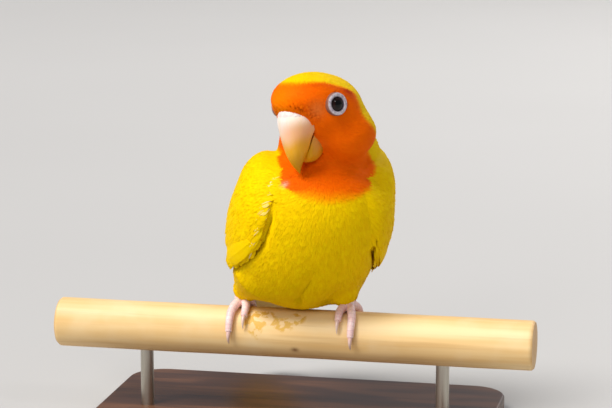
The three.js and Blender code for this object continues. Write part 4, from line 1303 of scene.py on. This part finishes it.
def make_coat():
    bill = NearBill()
    share, wide = (1.0, 1.0) if FULL else (0.3, 1.7)
    half = (0.38 * wide, 1.15 * wide)
    sizes = ((0.55, 1.2), (1.7, 6.0), half, (0.75, 1.0), (0.0, 0.06), (0.07, 0.1))
    lay_coat("feathers", FEATHER, int(21000 * share), sizes, bill)
    half = (0.11 * wide, 0.24 * wide)
    sizes = ((0.34, 0.85), (1.6, 4.2), half, (0.5, 0.7), (0.05, 0.14), (0.07, 0.09))
    lay_coat("barbs", BARB, int(42000 * share), sizes, bill)


# Feet and claws, in the perch's frame. A toe's name, lean, end in degrees, 1 in front or -1 behind, scutes.
TOE = {"root": 1.75, "tip": 1.15}
TOES = [("outer_front", 2.4, 82, 1, 11), ("inner_front", -2.2, 48, 1, 8), ("outer_back", 2.4, 78, -1, 10),
        ("inner_back", -2.3, 50, -1, 7)]
CLAW = {"root": 0.95, "arc": 24.0, "lift": 0.7}
CLAW_ROWS, CLAW_SIDES = 18, 16
SHANK_RADII, SHANK_AT = vec(2.6, 2.6, 2.9), vec(0, 0.4, PERCH_RADIUS + 2.7)


def round_perch(x, turn, radius):
    """Points round the perch's axis, turned from its top towards the front."""
    x, turn, radius = np.broadcast_arrays(x, turn, radius)
    return np.stack([x, -radius * np.sin(turn), radius * np.cos(turn)], -1)


def toe_rings(at, lean, end, front, scutes):
    t, angle = np.linspace(0, 1, scutes * 6 + 1)[:, None], ring_angles(20)
    thick = mix(TOE["root"], TOE["tip"], t)
    x = at + math.copysign(1, at) * lean * np.sin(math.pi / 2 * np.minimum(t * 1.6, 1))
    scute = 0.035 * ((t * scutes) % 1.0) ** 0.6 * np.clip(np.cos(angle), 0, 1) ** 0.5
    pad = 0.08 * np.cos(6 * math.pi * t) * np.clip(-np.cos(angle), 0, 1)
    closing = np.sqrt(np.clip(np.minimum(t, 1 - t) / 0.04, 0.02, 1))
    wide = thick * (1 + scute + pad) * closing
    radius = PERCH_RADIUS + 0.12 + thick * 0.97 + np.cos(angle) * wide
    return round_perch(x + 0.92 * np.sin(angle) * wide, front * np.radians(mix(-4, end, t)), radius)


def claw_rings(at, lean, end, front):
    t, angle = np.linspace(0, 0.98, CLAW_ROWS)[:, None], ring_angles(CLAW_SIDES)
    thick = CLAW["root"] * (1 - 0.93 * t**1.3)
    lift = CLAW["lift"] * np.sin(math.pi * t) + TOE["tip"] - CLAW["root"]
    x = at + math.copysign(1, at) * lean + 0.8 * thick * np.sin(angle)
    radius = PERCH_RADIUS + 0.2 + thick + lift + thick * np.cos(angle)
    return round_perch(x, front * np.radians(end - 2 + (CLAW["arc"] + 4) * t), radius)


def make_feet():
    skin = Nodes("foot_skin")
    scales = skin.feed(skin.add("ShaderNodeTexVoronoi", feature="DISTANCE_TO_EDGE"), ("Vector", "Scale"),
                       (skin.place(), 1500))
    crack = skin.range(scales.outputs["Distance"], 0.0, 0.12, 1.0, 0.0)
    colour = skin.layers(
        skin.mottled(500, "f4ccc8", "fde0dc"),
        (skin.math("MULTIPLY", crack, 0.22), "c98f92"),
        (skin.attribute("groove"), "c08389"))
    skin.set(Base_Color=colour, Roughness=0.5)
    skin.set(Subsurface_Weight=0.15, Subsurface_Radius=(0.002, 0.0008, 0.0005), Subsurface_Scale=0.5)
    skin.bump(skin.math("SUBTRACT", 1.0, crack), 0.35, 0.00006)
    horn = Nodes("claw_horn")
    colour = horn.mix(horn.attribute("tip"), "dfb6ad", "f1dccb")
    horn.set(Base_Color=colour, Roughness=0.3, Coat_Weight=0.3, Coat_Roughness=0.2)
    horn.bump(horn.noise(900, 2), 0.2, 0.00003)
    polar, turn = np.linspace(0.05, math.pi - 0.05, 24)[:, None], ring_angles(28)
    flat = np.sin(polar)
    ball = np.stack([flat * np.cos(turn), flat * np.sin(turn), np.cos(polar) + 0 * turn], -1)
    for word, at in FOOT_AT.items():
        parts, grooves = [], []
        for _, lean, end, front, scutes in TOES:
            rings = toe_rings(at, lean, end, front, scutes)
            parts.append(closed_rows(rings))
            from_scute = np.abs(((np.linspace(0, 1, len(rings)) * scutes + 0.5) % 1.0) - 0.5)
            near = smooth(-from_scute, -0.12, -0.02)
            grooves.append(np.append(np.repeat(near, rings.shape[1]), [0, 0]) * 0.25)
        parts.append(closed_rows(ball * SHANK_RADII + SHANK_AT + vec(at, 0, 0)))
        grooves.append(np.zeros(len(parts[-1][0])))
        points, faces = joined(parts)
        mesh = new_mesh("foot_" + word, points + PERCH_AT, faces)
        set_values(mesh, groove=np.concatenate(grooves))
        piece("foot_skin_" + word, mesh, skin.material, ("foot_" + word,))
        for name, lean, end, front, _ in TOES:
            points, faces = closed_rows(claw_rings(at, lean, end, front))
            node = f"claw_{word}_{name}"
            mesh = new_mesh(node, points + PERCH_AT, faces)
            set_values(mesh, tip=np.append(np.repeat(np.linspace(0, 1, CLAW_ROWS), CLAW_SIDES), [0, 1]))
            piece(node + "_horn", mesh, horn.material, (node,))


# The perch and the stand. A spot's place along the perch, degrees round it from the top to the front, and
# its sizes along and round.
STAINS = [(-13, 52, 2.2, 5), (-8, 40, 3.0, 3), (-2, 58, 3.5, 2.4), (3, 38, 2.5, 2.6), (-10, 66, 1.2, 4)]
KNOT = (2.2, 118, 1.1, 0.8)
PER_DEGREE = 0.144  # millimetres round the perch


def make_perch():
    angle = ring_angles(120)
    x = np.linspace(-PERCH_LENGTH / 2, PERCH_LENGTH / 2, 221)[:, None]
    wave = 0.1 * np.sin(x / 17 + 1) * np.cos(angle - 0.6) + 0.05 * np.sin(x / 5.3) * np.sin(2 * angle)
    furrow = 0.05 * np.sin(9 * angle + 0.8 * np.sin(angle)) * (0.6 + 0.4 * np.sin(x / 23))
    rounding = 0.6 * (1 - smooth(PERCH_LENGTH / 2 - np.abs(x), -0.1, 0.9)) ** 1.5
    points, faces = closed_rows(round_perch(x, angle, PERCH_RADIUS - 0.1 + wave + furrow - rounding))
    mesh = new_mesh("perch", points + PERCH_AT, faces)
    degrees = np.degrees(np.arctan2(-points[:, 1], points[:, 2]))
    spots = [
        hill(points[:, 0] - place, long) * hill((degrees - at) * PER_DEGREE, wide)
        for place, at, long, wide in (*STAINS, KNOT)]
    end = 1 - smooth(PERCH_LENGTH / 2 - np.abs(points[:, 0]), 0.0, 0.6)
    set_values(mesh, stain=np.clip(sum(spots[:-1]), 0, 1), knot=spots[-1], end=end)
    mesh.set_sharp_from_angle(angle=math.radians(40))
    wood = Nodes("perch_wood")
    fibres = wood.noise(420, 5, 0.6, stretch=(0.035, 1.0, 1.0))
    bands = wood.noise(130, 3, 0.5, stretch=(0.05, 1.0, 1.0))
    patchy = wood.math("MULTIPLY", wood.attribute("stain"), wood.range(wood.noise(480, 4), 0.38, 0.6))
    colour = wood.layers(
        wood.mix(wood.range(bands, 0.35, 0.68), "e6b974", "f7d8a0"),
        (wood.range(fibres, 0.52, 0.78, 0.0, 0.45), "c99a5c"),
        (wood.range(wood.noise(60), 0.5, 0.75, 0.0, 0.35), "f6dfb4"),
        (wood.range(patchy, 0.2, 0.6, 0.0, 0.8), "d8a416"),
        (wood.attribute("knot"), "8a5a33"),
        (wood.math("MULTIPLY", wood.attribute("end"), 0.5), "c08f55"))
    wood.set(Base_Color=colour, Roughness=0.52, Specular_IOR_Level=0.4)
    wood.bump(fibres, 0.35, 0.00012)
    piece("perch_rod", mesh, wood.material, ("perch",))


def stand_piece(name, node, rings, material):
    points, faces = closed_rows(rings)
    mesh = new_mesh(node, points, faces)
    mesh.set_sharp_from_angle(angle=math.radians(35))
    piece(name, mesh, material, (node,))


def base_rings():
    """Rings round the stand's base, with round corners, rounded at its lower and upper edges."""
    centre = vec(BASE["length"], BASE["depth"]) / 2 - BASE["corner"]
    outline = []
    for quarter, signs in enumerate(((1, 1), (-1, 1), (-1, -1), (1, -1))):
        turn = np.linspace(0, math.pi / 2, 13) + quarter * math.pi / 2
        outline.append(np.stack([np.cos(turn), np.sin(turn)], 1) * BASE["corner"] + centre * signs)
    outline = np.vstack(outline)
    inward = -unit(outline - np.sign(outline) * centre)
    rings = []
    for a in np.linspace(0, math.pi / 2, 7):
        height = np.full((len(outline), 1), BASE["edge"] * (1 - math.cos(a)))
        rings.append(np.hstack([outline + inward * BASE["edge"] * (1 - math.sin(a)), height]))
    return np.array(rings + [ring * vec(1, 1, -1) + vec(0, 0, BASE["thick"]) for ring in rings[::-1]])


def make_stand():
    wood = Nodes("stand_wood")
    growth = wood.math("SINE", wood.math("MULTIPLY", wood.noise(22, 3, 0.5, stretch=(0.2, 1.0, 1.0)), 60.0))
    fibres = wood.noise(520, 5, 0.65, stretch=(0.03, 1.0, 0.6))
    colour = wood.mix(wood.range(growth, -1.0, 1.0), "4c2c1a", "6d4429")
    colour = wood.mix(wood.range(fibres, 0.45, 0.75, 0.0, 0.7), colour, "2e180d")
    wood.set(Base_Color=colour, Roughness=0.42, Coat_Weight=0.2, Coat_Roughness=0.3)
    wood.bump(fibres, 0.3, 0.00008)
    stand_piece("stand_board", "stand_base", base_rings(), wood.material)
    metal = Nodes("stand_metal")
    brushed = metal.noise(900, 3, 0.6, stretch=(1.0, 1.0, 0.02))
    metal.set(Base_Color=metal.mix(brushed, "a8a296", "d0cabd"), Metallic=1.0)
    metal.set(Roughness=metal.range(brushed, 0.2, 0.8, 0.25, 0.42))
    metal.bump(brushed, 0.15, 0.00003)
    turn = ring_angles(40)
    ring = np.stack([ROD["radius"] * np.cos(turn), ROD["radius"] * np.sin(turn), 0 * turn], 1)
    heights = (BASE["thick"] - 0.3, BASE["thick"] + 0.5, 15.0, PERCH_HEIGHT - PERCH_RADIUS + 1.2)
    for word, side in SIDES:
        rings = np.array([ring + vec(side * ROD["spread"], 0, height) for height in heights])
        stand_piece("stand_pin_" + word, "stand_rod_" + word, rings, metal.material)


# Studio and lights in metres, the camera in millimetres, and their sides and heights in degrees.
AIM = (0, 0, 0.075)
SUN_SIDE, SUN_HEIGHT = -42, 52
CAMERA_SIDE, CAMERA_HEIGHT = 12, 11
PER_PIXEL, CAMERA_DISTANCE = 0.33, 800.0


def seen_from(azimuth, elevation):
    """The direction to a place that many degrees round from the front and up."""
    azimuth, elevation = math.radians(azimuth), math.radians(elevation)
    level = math.cos(elevation)
    return vec(math.sin(azimuth) * level, -math.cos(azimuth) * level, math.sin(elevation))


def area_light(name, place, size, power):
    data = bpy.data.lights.new(name, "AREA")
    data.shape, data.size, data.energy = "DISK", size, power
    made = add_object(name, data)
    made.location = place
    made.rotation_euler = (Vector(AIM) - Vector(place)).to_track_quat("-Z", "Y").to_euler()


def make_studio():
    corners = vec(-20, -20, 0, 20, -20, 0, 20, 20, 0, -20, 20, 0).reshape(4, 3) * 1000
    mesh = new_mesh("floor", corners, [np.array([(0, 1, 2, 3)])])
    floor = add_object("floor", mesh)
    pale = Nodes("floor_pale")
    pale.set(Base_Color=pale.mix(pale.noise(3, 2), "bfbdbb", "c5c3c1"), Roughness=0.8)
    mesh.materials.append(pale.material)
    sun = bpy.data.lights.new("key", "SUN")
    sun.energy, sun.angle, sun.color = 3.2, math.radians(24), (1.0, 0.985, 0.96)
    key = add_object("key", sun)
    key.rotation_euler = Vector(seen_from(SUN_SIDE, SUN_HEIGHT)).to_track_quat("Z", "Y").to_euler()
    area_light("fill", (-0.1, -0.72, 0.42), 0.2, 0.8)
    area_light("spark", (0.4, -0.456, 0.62), 0.1, 0.45)
    area_light("back", (0.5, 1.1, 0.8), 0.9, 6.0)
    world = bpy.data.worlds.new("studio")
    world.use_nodes = True
    background = world.node_tree.nodes["Background"]
    background.inputs[0].default_value = (0.92, 0.94, 1.0, 1)
    background.inputs[1].default_value = 0.27
    bpy.context.scene.world = world


def make_camera():
    back = seen_from(CAMERA_SIDE, CAMERA_HEIGHT)
    right = unit(vec(-back[1], back[0], 0))
    target = PERCH_AT + PER_PIXEL * (13 * right + 129 * np.cross(back, right))
    data = bpy.data.cameras.new("camera")
    data.sensor_width = 36
    data.lens = CAMERA_DISTANCE / PER_PIXEL * data.sensor_width / 612
    data.clip_start, data.clip_end = 0.05, 50
    made = add_object("camera", data)
    made.location = (target + CAMERA_DISTANCE * back) * 0.001
    made.rotation_euler = Vector(back).to_track_quat("Z", "Y").to_euler()
    bpy.context.scene.camera = made


make_camera()
make_studio()
make_skin()
make_bill()
make_eyes()
make_wings()
make_tail()
make_feet()
make_perch()
make_stand()
make_coat()
bpy.context.scene.view_settings.view_transform = "Standard"
